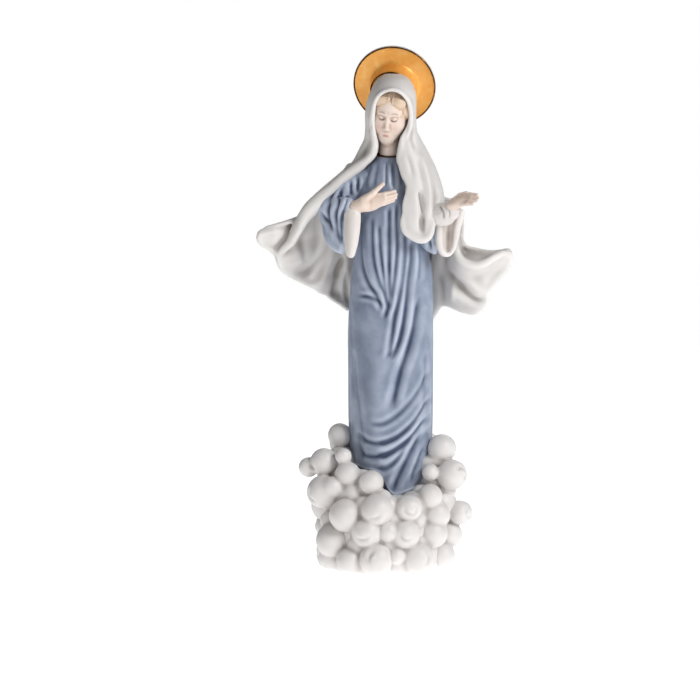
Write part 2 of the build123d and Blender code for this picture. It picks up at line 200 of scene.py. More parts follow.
class Clay:
    """A block of clay between two corners: distances to its surface, negative inside."""

    BAND = 5  # voxels on each side of the surface in which distances are kept

    def __init__(self, low, high, voxel):
        self.voxel = voxel * COARSE
        self.low = np.asarray(low, float)
        count = np.ceil((np.asarray(high, float) - self.low) / self.voxel).astype(int) + 1
        self.far = self.BAND * self.voxel
        self.d = np.full(count, self.far, np.float32)

    def window(self, low, high):
        """The part of the grid near a box, and its x, y and z."""
        margin = self.far + self.voxel
        first = np.floor((np.asarray(low) - margin - self.low) / self.voxel).astype(int)
        last = np.ceil((np.asarray(high) + margin - self.low) / self.voxel).astype(int) + 1
        first, last = np.maximum(first, 0), np.minimum(last, self.d.shape)
        part = tuple(slice(a, b) for a, b in zip(first, last))
        steps = (np.arange(a, b, dtype=np.float32) for a, b in zip(first, last))
        x, y, z = (corner + step * self.voxel for corner, step in zip(self.low, steps))
        return part, (x[:, None, None], y[None, :, None], z[None, None, :])

    def merge(self, part, distance, blend=0.0, cut=False):
        """Joins a shape to the clay, or cuts it away, with a fillet of about blend."""
        if cut:
            distance = -distance
            both = np.maximum(self.d[part], distance)
        else:
            both = np.minimum(self.d[part], distance)
        if blend:
            h = np.maximum(blend - np.abs(self.d[part] - distance), 0.0) / blend
            both = both + (1 if cut else -1) * h * h * blend / 4
        self.d[part] = np.clip(both, -self.far, self.far)

    def ball(self, centre, r, blend=0.0, cut=False):
        c = np.asarray(centre, float)
        part, (x, y, z) = self.window(c - r, c + r)
        self.merge(part, np.sqrt((x - c[0]) ** 2 + (y - c[1]) ** 2 + (z - c[2]) ** 2) - r, blend, cut)

    def rod(self, start, end, r0, r1, blend=0.0, cut=False):
        """A round-ended rod that tapers from r0 to r1."""
        a, b = np.asarray(start, float), np.asarray(end, float)
        r = max(r0, r1)
        part, (x, y, z) = self.window(np.minimum(a, b) - r, np.maximum(a, b) + r)
        v = b - a
        t = np.clip(((x - a[0]) * v[0] + (y - a[1]) * v[1] + (z - a[2]) * v[2]) / v.dot(v), 0, 1)
        gap = np.sqrt((x - a[0] - v[0] * t) ** 2 + (y - a[1] - v[1] * t) ** 2 + (z - a[2] - v[2] * t) ** 2)
        self.merge(part, gap - (r0 + (r1 - r0) * t), blend, cut)

    def chain(self, stations, blend=0.0):
        """Rods that join one station to the next: x, y, z and radius."""
        for start, end in zip(stations, stations[1:]):
            self.rod(start[:3], end[:3], start[3], end[3], blend)

    def egg(self, centre, radii, axes=None, blend=0.0, cut=False):
        """An ellipsoid, turned to the given three axes."""
        c, radii = np.asarray(centre, float), np.asarray(radii, float)
        axes = np.eye(3) if axes is None else np.asarray(axes)
        r = radii.max()
        part, (x, y, z) = self.window(c - r, c + r)
        q = [(x - c[0]) * a[0] + (y - c[1]) * a[1] + (z - c[2]) * a[2] for a in axes]
        k0 = np.sqrt(sum((v / s) ** 2 for v, s in zip(q, radii)))
        k1 = np.sqrt(sum((v / s**2) ** 2 for v, s in zip(q, radii)))
        self.merge(part, k0 * (k0 - 1) / np.maximum(k1, 1e-6), blend, cut)

    def mesh(self, verts, quads, tris=None, blend=0.0, cut=False):
        """A closed mesh."""
        points = ((verts - self.low) / self.voxel).astype(np.float32)
        tris = np.zeros((0, 3), np.uint32) if tris is None else tris.astype(np.uint32)
        grid = vdb.FloatGrid.createLevelSetFromPolygons(
            points, triangles=tris, quads=quads.astype(np.uint32),
            transform=vdb.createLinearTransform(1.0), halfWidth=float(self.BAND),
        )
        distance = np.full(self.d.shape, float(self.BAND), np.float32)
        grid.copyToArray(distance, ijk=(0, 0, 0))
        self.merge(tuple(slice(0, n) for n in self.d.shape), distance * self.voxel, blend, cut)

    def soften(self, size):
        """Rounds every edge and crease by about size."""
        sigma = size / self.voxel
        reach = max(1, int(2.5 * sigma))
        weights = np.exp(-0.5 * (np.arange(-reach, reach + 1) / sigma) ** 2)
        weights = (weights / weights.sum()).astype(np.float32)
        for axis in range(3):
            width = [(reach, reach) if k == axis else (0, 0) for k in range(3)]
            padded = np.pad(self.d, width, mode="edge")
            n = self.d.shape[axis]
            total = 0
            for k, w in enumerate(weights):
                total = total + w * np.take(padded, np.arange(k, k + n), axis=axis)
            self.d = total

    def surface(self):
        """The surface as points and quads."""
        grid = vdb.FloatGrid(float(self.BAND))
        grid.copyFromArray(np.ascontiguousarray(self.d / self.voxel, dtype=np.float32))
        grid.gridClass = vdb.GridClass.LEVEL_SET
        points, quads = grid.convertToQuads(0.0)
        return points.astype(float) * self.voxel + self.low, quads.astype(np.int64)[:, ::-1]


# --- Surfaces -------------------------------------------------------------------------------------


def edges_of(quads):
    """Each edge once, as a pair of vertices."""
    pairs = np.concatenate([quads[:, (k, (k + 1) % 4)] for k in range(4)])
    return np.unique(np.sort(pairs, axis=1), axis=0)


def neighbour_mean(values, edges, count):
    """The mean of each vertex's neighbours."""
    a, b = edges.T
    degree = np.bincount(a, minlength=count) + np.bincount(b, minlength=count)
    out = np.empty_like(values)
    for k in range(values.shape[1]):
        total = np.bincount(a, values[b, k], count) + np.bincount(b, values[a, k], count)
        out[:, k] = total / np.maximum(degree, 1)
    return out


def relax(verts, quads, times):
    """Smooths a mesh and swells it back, so that it hardly shrinks."""
    edges = edges_of(quads)
    for _ in range(times):
        for factor in (0.5, -0.48):
            verts = verts + factor * (neighbour_mean(verts, edges, len(verts)) - verts)
    return verts


def normals_of(verts, quads):
    """The outward direction at each vertex."""
    p = verts[quads]
    face = np.cross(p[:, 2] - p[:, 0], p[:, 3] - p[:, 1])
    out = np.zeros_like(verts)
    for axis in range(3):
        for corner in range(4):
            out[:, axis] += np.bincount(quads[:, corner], face[:, axis], len(verts))
    return unit(out)


def hollows(verts, quads, times):
    """How hollow the surface is at each vertex, from about -1 on a ridge to 1 in a groove."""
    edges = edges_of(quads)
    normal = normals_of(verts, quads)
    lift = ((neighbour_mean(verts, edges, len(verts)) - verts) * normal).sum(1, keepdims=True)
    for _ in range(times):
        lift = neighbour_mean(lift, edges, len(verts))
    lift = lift[:, 0]
    return np.clip(lift / (3.0 * np.std(lift) + 1e-9), -1, 1)


def relief(x, z, folds):
    """The height that folds give to points seen from the front or the back.
    Each fold is a depth, a width and the points of a curve: a groove, with a swell on each side."""
    height = np.zeros(len(x))
    for depth, width, points in folds:
        path = curve(points, 8 * len(points))
        reach = 4.5 * width
        low, high = path.min(0) - reach, path.max(0) + reach
        near = np.flatnonzero((x > low[0]) & (x < high[0]) & (z > low[1]) & (z < high[1]))
        if not len(near):
            continue
        px, pz = x[near], z[near]
        best, place = np.full(len(near), 1e9), np.zeros(len(near))
        step = np.linalg.norm(np.diff(path, axis=0), axis=1)
        done = np.concatenate([[0], np.cumsum(step)])
        for k in range(len(step)):
            v = path[k + 1] - path[k]
            t = np.clip(((px - path[k, 0]) * v[0] + (pz - path[k, 1]) * v[1]) / max(v.dot(v), 1e-9), 0, 1)
            gap = np.hypot(px - path[k, 0] - v[0] * t, pz - path[k, 1] - v[1] * t)
            closer = gap < best
            best[closer] = gap[closer]
            place[closer] = (done[k] + t * step[k])[closer]
        r = best / width
        fade = smoothstep(np.minimum(place, done[-1] - place) / (5 * width) + 0.12)
        groove = 1.06 * np.exp(-((r * r + 0.06) ** 0.75)) - 0.26 * np.exp(-(((r - 2.2) / 1.1) ** 2))
        height[near] -= depth * fade * groove
    return height


def store(obj, name, values):
    """Keeps a value for each vertex, for a material to read."""
    layer = obj.data.attributes.new(name, "FLOAT", "POINT")
    layer.data.foreach_set("value", values.astype(np.float32))


def make(name, verts, quads, tris=None):
    """A Blender object from millimetres."""
    mesh = bpy.data.meshes.new(name)
    faces = quads.tolist() + ([] if tris is None else tris.tolist())
    mesh.from_pydata((verts * MM).tolist(), [], faces)
    mesh.shade_smooth()
    obj = bpy.data.objects.new(name, mesh)
    bpy.context.scene.collection.objects.link(obj)
    return obj


def place(obj, material, slot, *nodes):
    """Gives a piece its material and its place in the frame."""
    obj.data.materials.append(material)
    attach(obj, "root")
    if nodes:
        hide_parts(*nodes)


def glazed(name, verts, quads, material, slot, nodes, tris=None, spread=6):
    """A piece under a glaze, its colour set by hollows that are averaged spread times: darker in them, partly
    glaze pooling and partly painted shade, and lighter on ridges as painted highlight.
    """
    obj = make(name, verts, quads, tris)
    # The hollow value is the mask for painted shade in grooves and painted highlight on ridges, along with
    # real glaze pooling.
    store(obj, "hollow", hollows(verts, quads, spread))
    place(obj, material, slot, *nodes)
    return obj


# --- Materials ------------------------------------------------------------------------------------


def new_material(name):
    """A material, its node tree and its shader."""
    material = bpy.data.materials.new(name)
    material.use_nodes = True
    return material, material.node_tree, material.node_tree.nodes["Principled BSDF"]


def srgb(r, g, b):
    """A colour given as screen values from 0 to 255."""
    return tuple(((v / 255 + 0.055) / 1.055) ** 2.4 if v > 10 else v / 255 / 12.92 for v in (r, g, b))


def node(tree, kind, inputs=None, **settings):
    """A node whose inputs are values or the sockets to link."""
    made = tree.nodes.new(kind)
    for key, value in settings.items():
        setattr(made, key, value)
    for key, value in (inputs or {}).items():
        if isinstance(value, bpy.types.NodeSocket):
            tree.links.new(value, made.inputs[key])
        else:
            made.inputs[key].default_value = value
    return made


def ramp(tree, value, stops):
    """A colour ramp: stops are a position and a colour."""
    made = node(tree, "ShaderNodeValToRGB", {"Fac": value})
    elements = made.color_ramp.elements
    while len(elements) < len(stops):
        elements.new(0.5)
    for element, (position, colour) in zip(elements, stops):
        element.position = position
        element.color = (*colour, 1)
    return made.outputs["Color"]


def noise(tree, scale, detail, roughness=0.5):
    """A cloudy value fixed to the object's own space."""
    position = node(tree, "ShaderNodeTexCoord").outputs["Object"]
    settings = {"Scale": scale, "Detail": detail, "Roughness": roughness, "Vector": position}
    return node(tree, "ShaderNodeTexNoise", settings).outputs["Fac"]


def stored(tree, name):
    """A value kept on the vertices."""
    return node(tree, "ShaderNodeAttribute", attribute_name=name).outputs["Fac"]


def map_range(tree, value, low, high, to_low, to_high):
    """A value moved from one range to another."""
    limits = {"Value": value, "From Min": low, "From Max": high, "To Min": to_low, "To Max": to_high}
    return node(tree, "ShaderNodeMapRange", limits).outputs["Result"]


def mix(tree, factor, a, b):
    """Two colours mixed; each is a socket or a colour."""
    a, b = (c if isinstance(c, bpy.types.NodeSocket) else (*c, 1) for c in (a, b))
    return node(tree, "ShaderNodeMix", {0: factor, 6: a, 7: b}, data_type="RGBA").outputs[2]


def surfaced(tree, shader, colour, roughness, grain):
    """Wires a colour, a wandering roughness (noise scale, detail, low, high) and a fine grain
    (noise scale, detail, strength, depth in millimetres)."""
    tree.links.new(colour, shader.inputs["Base Color"])
    scale, detail, low, high = roughness
    wander = map_range(tree, noise(tree, scale, detail), 0.3, 0.7, low, high)
    tree.links.new(wander, shader.inputs["Roughness"])
    scale, detail, strength, depth = grain
    height = noise(tree, scale, detail)
    bump = node(tree, "ShaderNodeBump", {"Strength": strength, "Distance": depth * MM, "Height": height})
    tree.links.new(bump.outputs["Normal"], shader.inputs["Normal"])


def porcelain(name, ridge, plain, groove, roughness=0.46, mottle=0.05):
    """Fired clay under a satin glaze, its colour lighter on ridges and darker in grooves: partly the glaze
    thinning and pooling, partly painted highlight on ridges and painted shade in grooves.
    """
    material, tree, shader = new_material(name)
    height = map_range(tree, stored(tree, "hollow"), -1.0, 1.0, 0.0, 1.0)
    wander = map_range(tree, noise(tree, 90.0, 4.0), 0.3, 0.7, -mottle, mottle)
    pooled_and_shaded = node(tree, "ShaderNodeMath", {0: height, 1: wander}, operation="ADD").outputs[0]
    # The ridge stop is partly a painted highlight and the groove stop partly a painted shade.
    colour = ramp(tree, pooled_and_shaded, [(0.22, srgb(*ridge)), (0.5, srgb(*plain)), (0.82, srgb(*groove))])
    rough = (420.0, 3.0, roughness - 0.05, roughness + 0.06)
    surfaced(tree, shader, colour, rough, (1500.0, 5.0, 0.25, 0.02))
    shader.inputs["Coat Weight"].default_value = 0.1
    shader.inputs["Coat Roughness"].default_value = 0.3
    shader.inputs["IOR"].default_value = 1.5
    return material


# Colours on ridges, on plain surfaces and in grooves: the ridge colours are partly painted highlight and the
# groove colours partly painted shade, beside real glaze pooling.
CLOUD_GLAZE = porcelain("cloud_glaze", (226, 223, 221), (218, 214, 212), (186, 180, 176), mottle=0.06)
VEIL_GLAZE = porcelain("veil_glaze", (226, 223, 220), (214, 210, 207), (164, 158, 154))
ROBE_GLAZE = porcelain("robe_glaze", (184, 194, 211), (134, 145, 166), (58, 70, 96), 0.4, 0.08)
LINING_GLAZE = porcelain("lining_glaze", (230, 225, 222), (222, 215, 210), (178, 168, 162))
FLESH_TINT = porcelain("flesh_tint", (232, 214, 202), (226, 205, 191), (206, 180, 164), mottle=0.04)
HAIR_TINT = porcelain("hair_tint", (220, 196, 172), (204, 176, 150), (164, 130, 102), mottle=0.08)


# --- Robe -----------------------------------------------------------------------------------------

NECK_Z = 233.5
# Ellipses up the robe: height, centre x, centre y, half width, half depth
ROBE = [
    (40, 4.0, -0.5, 19.3, 17.5),
    (60, 3.6, -0.5, 21.5, 18.5),
    (80, 3.3, -0.5, 23.2, 19.0),
    (110, 3.2, -0.8, 23.6, 18.5),
    (140, 3.2, -0.5, 23.6, 17.5),
    (168, 3.9, 0.0, 22.5, 16.0),
    (188, 3.2, 0.0, 19.0, 14.5),
    (206, 2.6, -0.5, 18.6, 14.5),
    (218, 2.4, 0.0, 18.0, 12.8),
    (226, 2.2, 0.5, 13.5, 10.0),
    (231, 2.0, 0.5, 8.2, 7.6),
    (NECK_Z, 2.0, 0.5, 6.2, 6.0),
]
# Height of the hem round the robe: degrees from the front towards the figure's left, height
HEM = [
    (-90, 62), (-62, 60), (-45, 58.5), (-28, 57.8), (-17, 56.4), (-13, 52.8), (-7, 47), (2, 43.1),
    (10, 43.7), (25, 45.3), (42, 47), (62, 51.2), (90, 56), (135, 54), (180, 52), (225, 54), (270, 62),
]
# Grooves of the robe as the front shows them: depth, half width, points (x, z)
ROBE_FOLDS = [
    (0.7, 0.9, [(0.6, 231), (0.3, 224), (0.2, 216)]),
    (0.9, 1.0, [(4.4, 231), (4.4, 224), (4.6, 214)]),
    (0.7, 1.0, [(-3.8, 231), (-5.2, 224), (-6.5, 215)]),
    (0.9, 1.1, [(-7, 229), (-10, 223), (-11.5, 214)]),
    (0.7, 0.9, [(7.5, 230), (8.5, 224), (9.5, 216)]),
    (1.2, 1.1, [(2.3, 206), (2.2, 190), (2.1, 170), (2, 154), (0.9, 147), (-0.8, 142)]),
    (0.8, 1.0, [(6.7, 208), (6.6, 196), (6.9, 186), (6.3, 177), (4.9, 165), (3.4, 153), (2.4, 147)]),
    (0.9, 1.0, [(-3.7, 196), (-2.9, 181), (-1.3, 168.6), (0.3, 154.8), (1.3, 148.4)]),
    (0.9, 1.1, [(-7.6, 200), (-7.4, 186), (-6.4, 174), (-3.7, 164), (-0.5, 154.8), (1.1, 148.4)]),
    (1.1, 1.2, [(-13.4, 200), (-13.8, 184), (-12.8, 171.8), (-9.6, 162.6), (-4.8, 155.6), (-0.5, 148.4)]),
    (0.9, 1.0, [(-16, 155.6), (-12.3, 155.2), (-8, 154.6), (-4.4, 152.4), (-1.2, 147.6)]),
    (1.3, 1.3, [
        (11, 192), (11.4, 181), (10.4, 169), (8.2, 155), (5.6, 144), (4, 134), (2.4, 124), (0.7, 118.9),
    ]),
    (1.6, 1.5, [
        (14.5, 188), (14.6, 177), (13, 165), (12, 154), (10.8, 143), (8.6, 132.5), (5.4, 124.4), (2.6, 119),
    ]),
    (2.1, 1.9, [(19.4, 156), (18, 146), (16, 135), (12.4, 123), (8.6, 112.5), (6, 102), (3.6, 92)]),
    (0.8, 1.3, [(24.4, 113), (20, 104), (14.6, 96.4), (7, 89), (-1.6, 84), (-9, 84.6)]),
    (1.2, 1.3, [(25.4, 99), (21, 91), (15.6, 83.8), (7, 76.8), (-3, 73), (-11, 74.4), (-16, 79)]),
    (1.5, 1.4, [(23.6, 88), (18.4, 80.6), (12.4, 74), (5, 68.8), (-3, 65.6), (-10.6, 65.6), (-15.4, 69.4)]),
    (1.9, 1.7, [(20.6, 80), (17.4, 72.6), (13.4, 64.8), (9.4, 57.4), (6, 50.4), (3.6, 44)]),
    (0.8, 1.1, [(11.4, 71), (7.4, 65), (3, 60.6), (-2.4, 58.4), (-8, 60)]),
    (1.0, 1.2, [(21.6, 71), (19, 63.5), (16.4, 56.2), (14.2, 49)]),
    (0.6, 1.4, [(-17.5, 125), (-16.5, 110), (-14.8, 95), (-13, 80), (-11.6, 70)]),
    (0.9, 1.2, [(-15.2, 80), (-14.2, 71), (-12.2, 62)]),
    (0.5, 1.2, [(-19.4, 150), (-19, 130), (-18.4, 112), (-17.4, 98)]),
    (0.5, 1.2, [(22.5, 124), (22.4, 108), (21.6, 92)]),
    (0.6, 1.1, [(18.4, 186), (19.6, 174), (18.6, 162)]),
]


def robe():
    """The robe: listed folds pressed into the front, and even flutes round the back."""
    rows, half = int(370 / COARSE), int(182 / COARSE)
    table = curve(ROBE, 400)
    turn = np.concatenate([
        np.linspace(-95, 95, half, endpoint=False), np.linspace(95, 265, int(0.42 * half), endpoint=False)
    ])
    hem = np.interp(turn, *np.array(HEM).T, period=360)
    for _ in range(10):
        hem = (np.roll(hem, 1) + 2 * hem + np.roll(hem, -1)) / 4
    # The rows of points follow the hem at the bottom and grow level on the way up.
    z = np.linspace(min(hem) + 1.0, NECK_Z, rows)[:, None]
    z = z + (hem - min(hem)) * np.exp((min(hem) - z) / 25.0)
    cx, cy, a, b = (np.interp(z, table[:, 0], table[:, k]) for k in range(1, 5))
    angle = np.radians(turn)
    s, c = np.sin(angle), np.cos(angle)
    x, y = cx + a * s, cy - b * c
    out = unit(np.stack([s / a, -c / b, np.zeros_like(x)], -1))

    front = smoothstep((c - 0.05) / 0.3)
    knee = 3.0 * np.exp(-(((x + 3) / 7) ** 2) - ((z - 105) / 28) ** 2)
    pressed = relief(x.ravel(), z.ravel(), ROBE_FOLDS).reshape(x.shape)
    sway = 0.25 * np.sin(z / 31) + 0.12 * np.sin(z / 13 + 1)
    flute = np.abs(np.sin(7 * angle + sway)) ** 0.7 - 0.7
    depth = 0.5 + 1.7 * smoothstep((185 - z) / 140) * (0.8 + 0.3 * np.sin(3 * angle + 1))
    height = front * (knee + pressed) + (1 - front) * depth * flute * smoothstep((228 - z) / 20)
    net = np.stack([x, y, z], -1) + out * height[..., None]

    # The hem turns under and up into the dark inside.
    inward = -out[0] * (1, 1, 0)
    under = [(0.25, -0.65), (0.9, -1.0), (1.6, -0.8), (2.1, 0.1), (2.6, 3.5)]
    rings = [net[0] + inward * go + (0, 0, rise) for go, rise in reversed(under)]
    verts, quads, tris = capped(np.concatenate([np.stack(rings), net]))
    verts = relax(verts, quads, 2)
    glazed("robe", verts, quads, ROBE_GLAZE, "robe_glaze", ("robe_skirt", "robe_bodice"), tris)


robe()


# --- Cloud puffs ----------------------------------------------------------------------------------

BASE_R = 36.0
BASE_H = 45.0
# Puffs that show from the front: x, height, radius and, off the ring, y
FRONT_PUFFS = [
    (-25.4, 75.6, 6.9, 2), (-23.4, 66.0, 4.7), (-34.2, 61.9, 7.9, -12), (-43.0, 58.6, 5.7, -9),
    (-21.0, 55.8, 7.3), (-7.8, 52.2, 6.9), (-34.4, 45.8, 9.4, -17.5), (-17.4, 46.0, 5.8),
    (-22.2, 33.8, 9.2, -29), (-4.6, 37.2, 9.2), (-31.0, 29.0, 5.6, -15), (-9.9, 24.8, 9.0),
    (-29.4, 18.8, 9.5, -21.5), (-5.0, 9.8, 9.5), (-19.8, 8.4, 7.6), (-30.4, 8.6, 7.0), (13.0, 38.2, 7.6),
    (24.9, 43.8, 7.1), (28.8, 33.4, 7.7, -22), (32.0, 69.2, 8.1, -8), (25.3, 56.6, 4.8),
    (37.2, 55.0, 8.6, -14), (34.4, 45.0, 5.6), (42.2, 33.3, 6.9, -11), (1.6, 25.4, 6.0), (11.0, 23.8, 8.5),
    (26.6, 22.8, 8.4), (36.4, 20.6, 7.2), (6.4, 11.6, 4.8), (17.7, 9.6, 9.2), (32.0, 9.2, 7.5),
    (-29.6, 48.6, 6.3, -22.5),
]
# Lumps that close the gaps between those puffs, further in: x, height, radius
FRONT_LUMPS = [
    (-27, 53, 6.4), (-13, 50, 6.0), (2, 38.5, 7), (-28, 39, 6.6), (-13, 38, 7.6), (5, 32, 8),
    (18, 31, 8), (-27, 27, 8), (-16, 17, 8.4), (-33, 13, 6.5), (4, 18, 8), (-12, 7, 7.6), (-26, 6.5, 7),
    (20, 17, 8), (31, 15, 7.6), (25, 6.5, 7.2), (8, 6.5, 7.4), (34, 62, 5.6), (30, 50, 6.2), (19.5, 39, 7.2),
    (35, 38, 7.6), (34.5, 27.5, 7.4), (-36, 53, 5.4), (-33, 35.5, 6), (29, 60, 5.6), (-2, 43, 5.6),
    (-19, 26, 7), (-1, 31, 6.6), (26, 36, 6.6), (12, 14, 7), (-24, 44, 6.4),
]
# Puffs tucked in close under the hem: x, y, height, radius
HEM_PUFFS = [
    (14.6, -20.5, 40.2, 6.2), (5.0, -21, 36.6, 6.6), (-12.8, -18.5, 51.8, 6.8), (20.6, -14, 43.6, 6.4),
]
LUMP_SINK = 5.6  # the lumps stand this much nearer the middle than the puffs
# Rows of puffs round the back: height, ring radius, puff radius, count, degrees of arc
BACK_ROWS = [
    (9.2, 30.6, 8.6, 11, 226), (24.0, 31.2, 8.4, 10, 226), (39.0, 31.6, 8.9, 9, 222),
    (54.0, 29.0, 8.6, 8, 212), (68.0, 25.4, 7.4, 5, 168),
]
# Dents that curl into some puffs: which puff, turns, where it starts in degrees, handedness
CURLS = {
    6: (0.5, 300, -1), 11: (0.45, 190, 1), 13: (0.4, 80, 1), 16: (0.8, 150, 1), 21: (0.75, 150, -1),
    23: (0.9, 95, 1), 25: (0.5, 150, 1), 29: (0.4, 60, -1), 2: (0.35, 300, -1), 9: (0.4, 210, 1),
}


def front_puff(x, z, r, y=None):
    """Places a puff on the front of the base, with its centre just under the surface."""
    ring = (BASE_R + 1.0 if z < BASE_H else BASE_R - 4.0) - 0.3 * r
    if y is None:
        y = -math.sqrt(max(ring * ring - x * x, 90.0))
    return np.array((x, y, z)), r


def back_row(row, height, ring, size, count, sweep):
    """Puffs round the sides and back at one height, each row half a step on from the last."""
    step = sweep / count
    start = 90 - sweep / 2 + (row % 2 + 0.5) * step / 2
    found = []
    for k in range(count):
        angle = math.radians(start + k * step)
        swell = 1.4 * math.sin(5 * angle + 2 * row)
        angle += 0.09 * math.sin(7 * k + 3 * row)
        reach = ring + 0.9 * math.sin(4 * k + row) - 0.4 * swell
        rise = 2.7 * math.sin(3.3 * k + 1.7 * row)
        centre = (reach * math.cos(angle), reach * math.sin(angle), height + rise)
        found.append((np.array(centre), size + swell))
    return found


def carve_curl(verts, normals, centre, r, turns, start, hand):
    """Presses a spiral groove into the outward side of a puff, turned to the front on front ones."""
    lean = 14.0 if centre[1] < 0 else 0.0
    out = unit(np.array((centre[0], centre[1] - lean, 0.12 * r)))
    across = unit(np.cross((0.0, 0.0, 1.0), out))
    up = np.cross(out, across)
    away = verts - centre
    near = np.flatnonzero((np.linalg.norm(away, axis=1) < 1.25 * r) & (normals @ out > 0.15))
    steps = np.linspace(0, 1, 14)
    angle = np.radians(start) + hand * steps * turns * 2 * math.pi
    reach = r * (0.6 - 0.4 * steps)
    spiral = np.stack([reach * np.cos(angle), reach * np.sin(angle)], -1)
    press = relief(away[near] @ across, away[near] @ up, [(0.13 * r, 0.12 * r, spiral)])
    verts[near] += normals[near] * press[:, None]


def cloud(name, puffs, curls, lumps):
    """Puffs and lumps run together and cut flat at the floor, with curls on some of the puffs."""
    everything = [*lumps, *puffs]
    centres = np.array([c for c, _ in everything])
    reach = max(r for _, r in everything) + 2
    clay = Clay(centres.min(0) - reach, centres.max(0) + reach, 0.6)
    for centre, r in everything:
        clay.ball(centre, r, blend=1.3)
    floor = np.arange(clay.d.shape[2]) * clay.voxel + clay.low[2] - 0.8
    clay.d = np.maximum(clay.d, -np.minimum(floor, clay.far).astype(np.float32))
    clay.soften(0.45)
    verts, quads = clay.surface()
    normals = normals_of(verts, quads)
    for (centre, r), curl in zip(puffs, curls):
        if curl:
            carve_curl(verts, normals, centre, r, *curl)
    glazed(name, relax(verts, quads, 1), quads, CLOUD_GLAZE, "cloud_glaze", [name], spread=8)


def cloud_core():
    """The body under the puffs, with a rounded foot ring and the vent in its recessed floor."""
    profile = [
        (0, 30.6), (0.9, 32.6), (3.0, 34.4), (8, 35.4), (20, 35.6), (32, 35.2), (39, 33), (43, 28), (44, 20),
    ]
    recess = [(-3, 27.5), (-1, 27.5), (1.2, 27)]
    clay = Clay((-38, -38, -2), (38, 38, 58), 0.75)
    clay.mesh(*level_loft([(z, 0, 0, r, r) for z, r in profile], count=120))
    clay.mesh(*level_loft([(z, 0, 0, r, r) for z, r in recess], count=120), cut=True)
    clay.rod((0, 0, -3), (0, 0, 12), 1.6, 1.6, cut=True)
    clay.soften(0.3)
    verts, quads = clay.surface()
    verts[:, 2] = np.maximum(verts[:, 2], 0)
    glazed("cloud_core", verts, quads, CLOUD_GLAZE, "cloud_glaze", ["cloud_base"])


def clouds():
    """The whole base: its core, the front puffs in two pieces, and a piece for each row behind."""
    cloud_core()
    front = [front_puff(*p) for p in FRONT_PUFFS]
    lumps = [(centre * (1 - LUMP_SINK / BASE_R, 1 - LUMP_SINK / BASE_R, 1), r)
             for centre, r in (front_puff(*p) for p in FRONT_LUMPS)]
    lumps += [(np.array(puff[:3]), puff[3]) for puff in HEM_PUFFS]
    for side, name in ((-1, "cloud_puffs_front_right"), (1, "cloud_puffs_front_left")):
        own = [k for k, (centre, _) in enumerate(front) if (centre[0] >= 0) == (side > 0)]
        fill = [lump for lump in lumps if (lump[0][0] >= 0) == (side > 0)]
        cloud(name, [front[k] for k in own], [CURLS.get(k) for k in own], fill)
    for row, (level, spec) in enumerate(zip(("low", "middle", "high", "upper", "top"), BACK_ROWS)):
        puffs = back_row(row, *spec)
        curls = [
            (0.5 + 0.15 * (k % 3), 77 * k + 40 * row, 1 if k % 2 else -1) if (k + row) % 3 == 0 else None
            for k in range(len(puffs))
        ]
        lumps = [
            ((a + b) / 2 * (0.87, 0.87, 1) + (0, 0, 7.0), 0.46 * (r + q) + math.sin(3 * k + row))
            for k, ((a, r), (b, q)) in enumerate(zip(puffs, puffs[1:]))
        ]
        cloud(f"cloud_puffs_back_{level}", puffs, curls, lumps if row < 4 else ())


clouds()


# --- Sleeves, cuffs and hands ---------------------------------------------------------------------


def finished(name, clay, material, slot, folds=(), smooth=2):
    """The surface of some clay, with folds pressed into the side that faces front."""
    verts, quads = clay.surface()
    verts = relax(verts, quads, smooth)
    if folds:
        normals = normals_of(verts, quads)
        seen = smoothstep(-normals[:, 1] / 0.35)
        verts = verts + normals * (relief(verts[:, 0], verts[:, 2], folds) * seen)[:, None]
    glazed(name, verts, quads, material, slot, [name])


def right_sleeve():
    """The raised arm, and the bell of the sleeve hanging from its wrist."""
    clay = Clay((-44, -26, 170), (2, 14, 234), 0.45)
    clay.rod((-8, 1, 219), (-21, 0.5, 214.5), 8.0, 7.6, 2)
    clay.rod((-21, 0.5, 214.5), (-30, -2.5, 205), 7.6, 6.8, 2)
    clay.rod((-31, -4, 204.5), (-21.5, -14.0, 205.6), 6.0, 5.0, 2)
    bell = [
        ((-33, -3, 203), 4.6, 6.5),
        ((-29.5, -6, 200), 5.2, 10.0),
        ((-25.5, -10, 194.5), 4.6, 14.2),
        ((-20.4, -14.2, 192.0), 3.4, 14.4),
    ]
    clay.mesh(*tube(bell), blend=3)
    clay.egg((-16.6, -18.6, 205.6), (3.6, 4.2, 4.0), blend=0.8, cut=True)
    clay.soften(0.5)
    folds = [
        (0.8, 1.0, [(-15.1, 223), (-15.4, 218), (-15.5, 212)]),
        (0.8, 1.0, [(-19.1, 220), (-19, 215), (-18.7, 210)]),
        (1.2, 1.3, [(-24, 217), (-26, 209), (-27.5, 201), (-27, 192), (-25, 184)]),
        (1.2, 1.2, [(-30, 210), (-32, 203), (-31, 196), (-29, 190)]),
        (1.0, 1.1, [(-20.5, 212), (-22.5, 206), (-24.5, 199), (-24.5, 190), (-23.6, 183)]),
        (0.9, 1.0, [(-36, 203), (-34, 199), (-31, 195)]),
        (0.8, 0.9, [(-25, 221), (-28, 214), (-32, 208)]),
    ]
    finished("right_sleeve", clay, ROBE_GLAZE, "robe_glaze", folds)


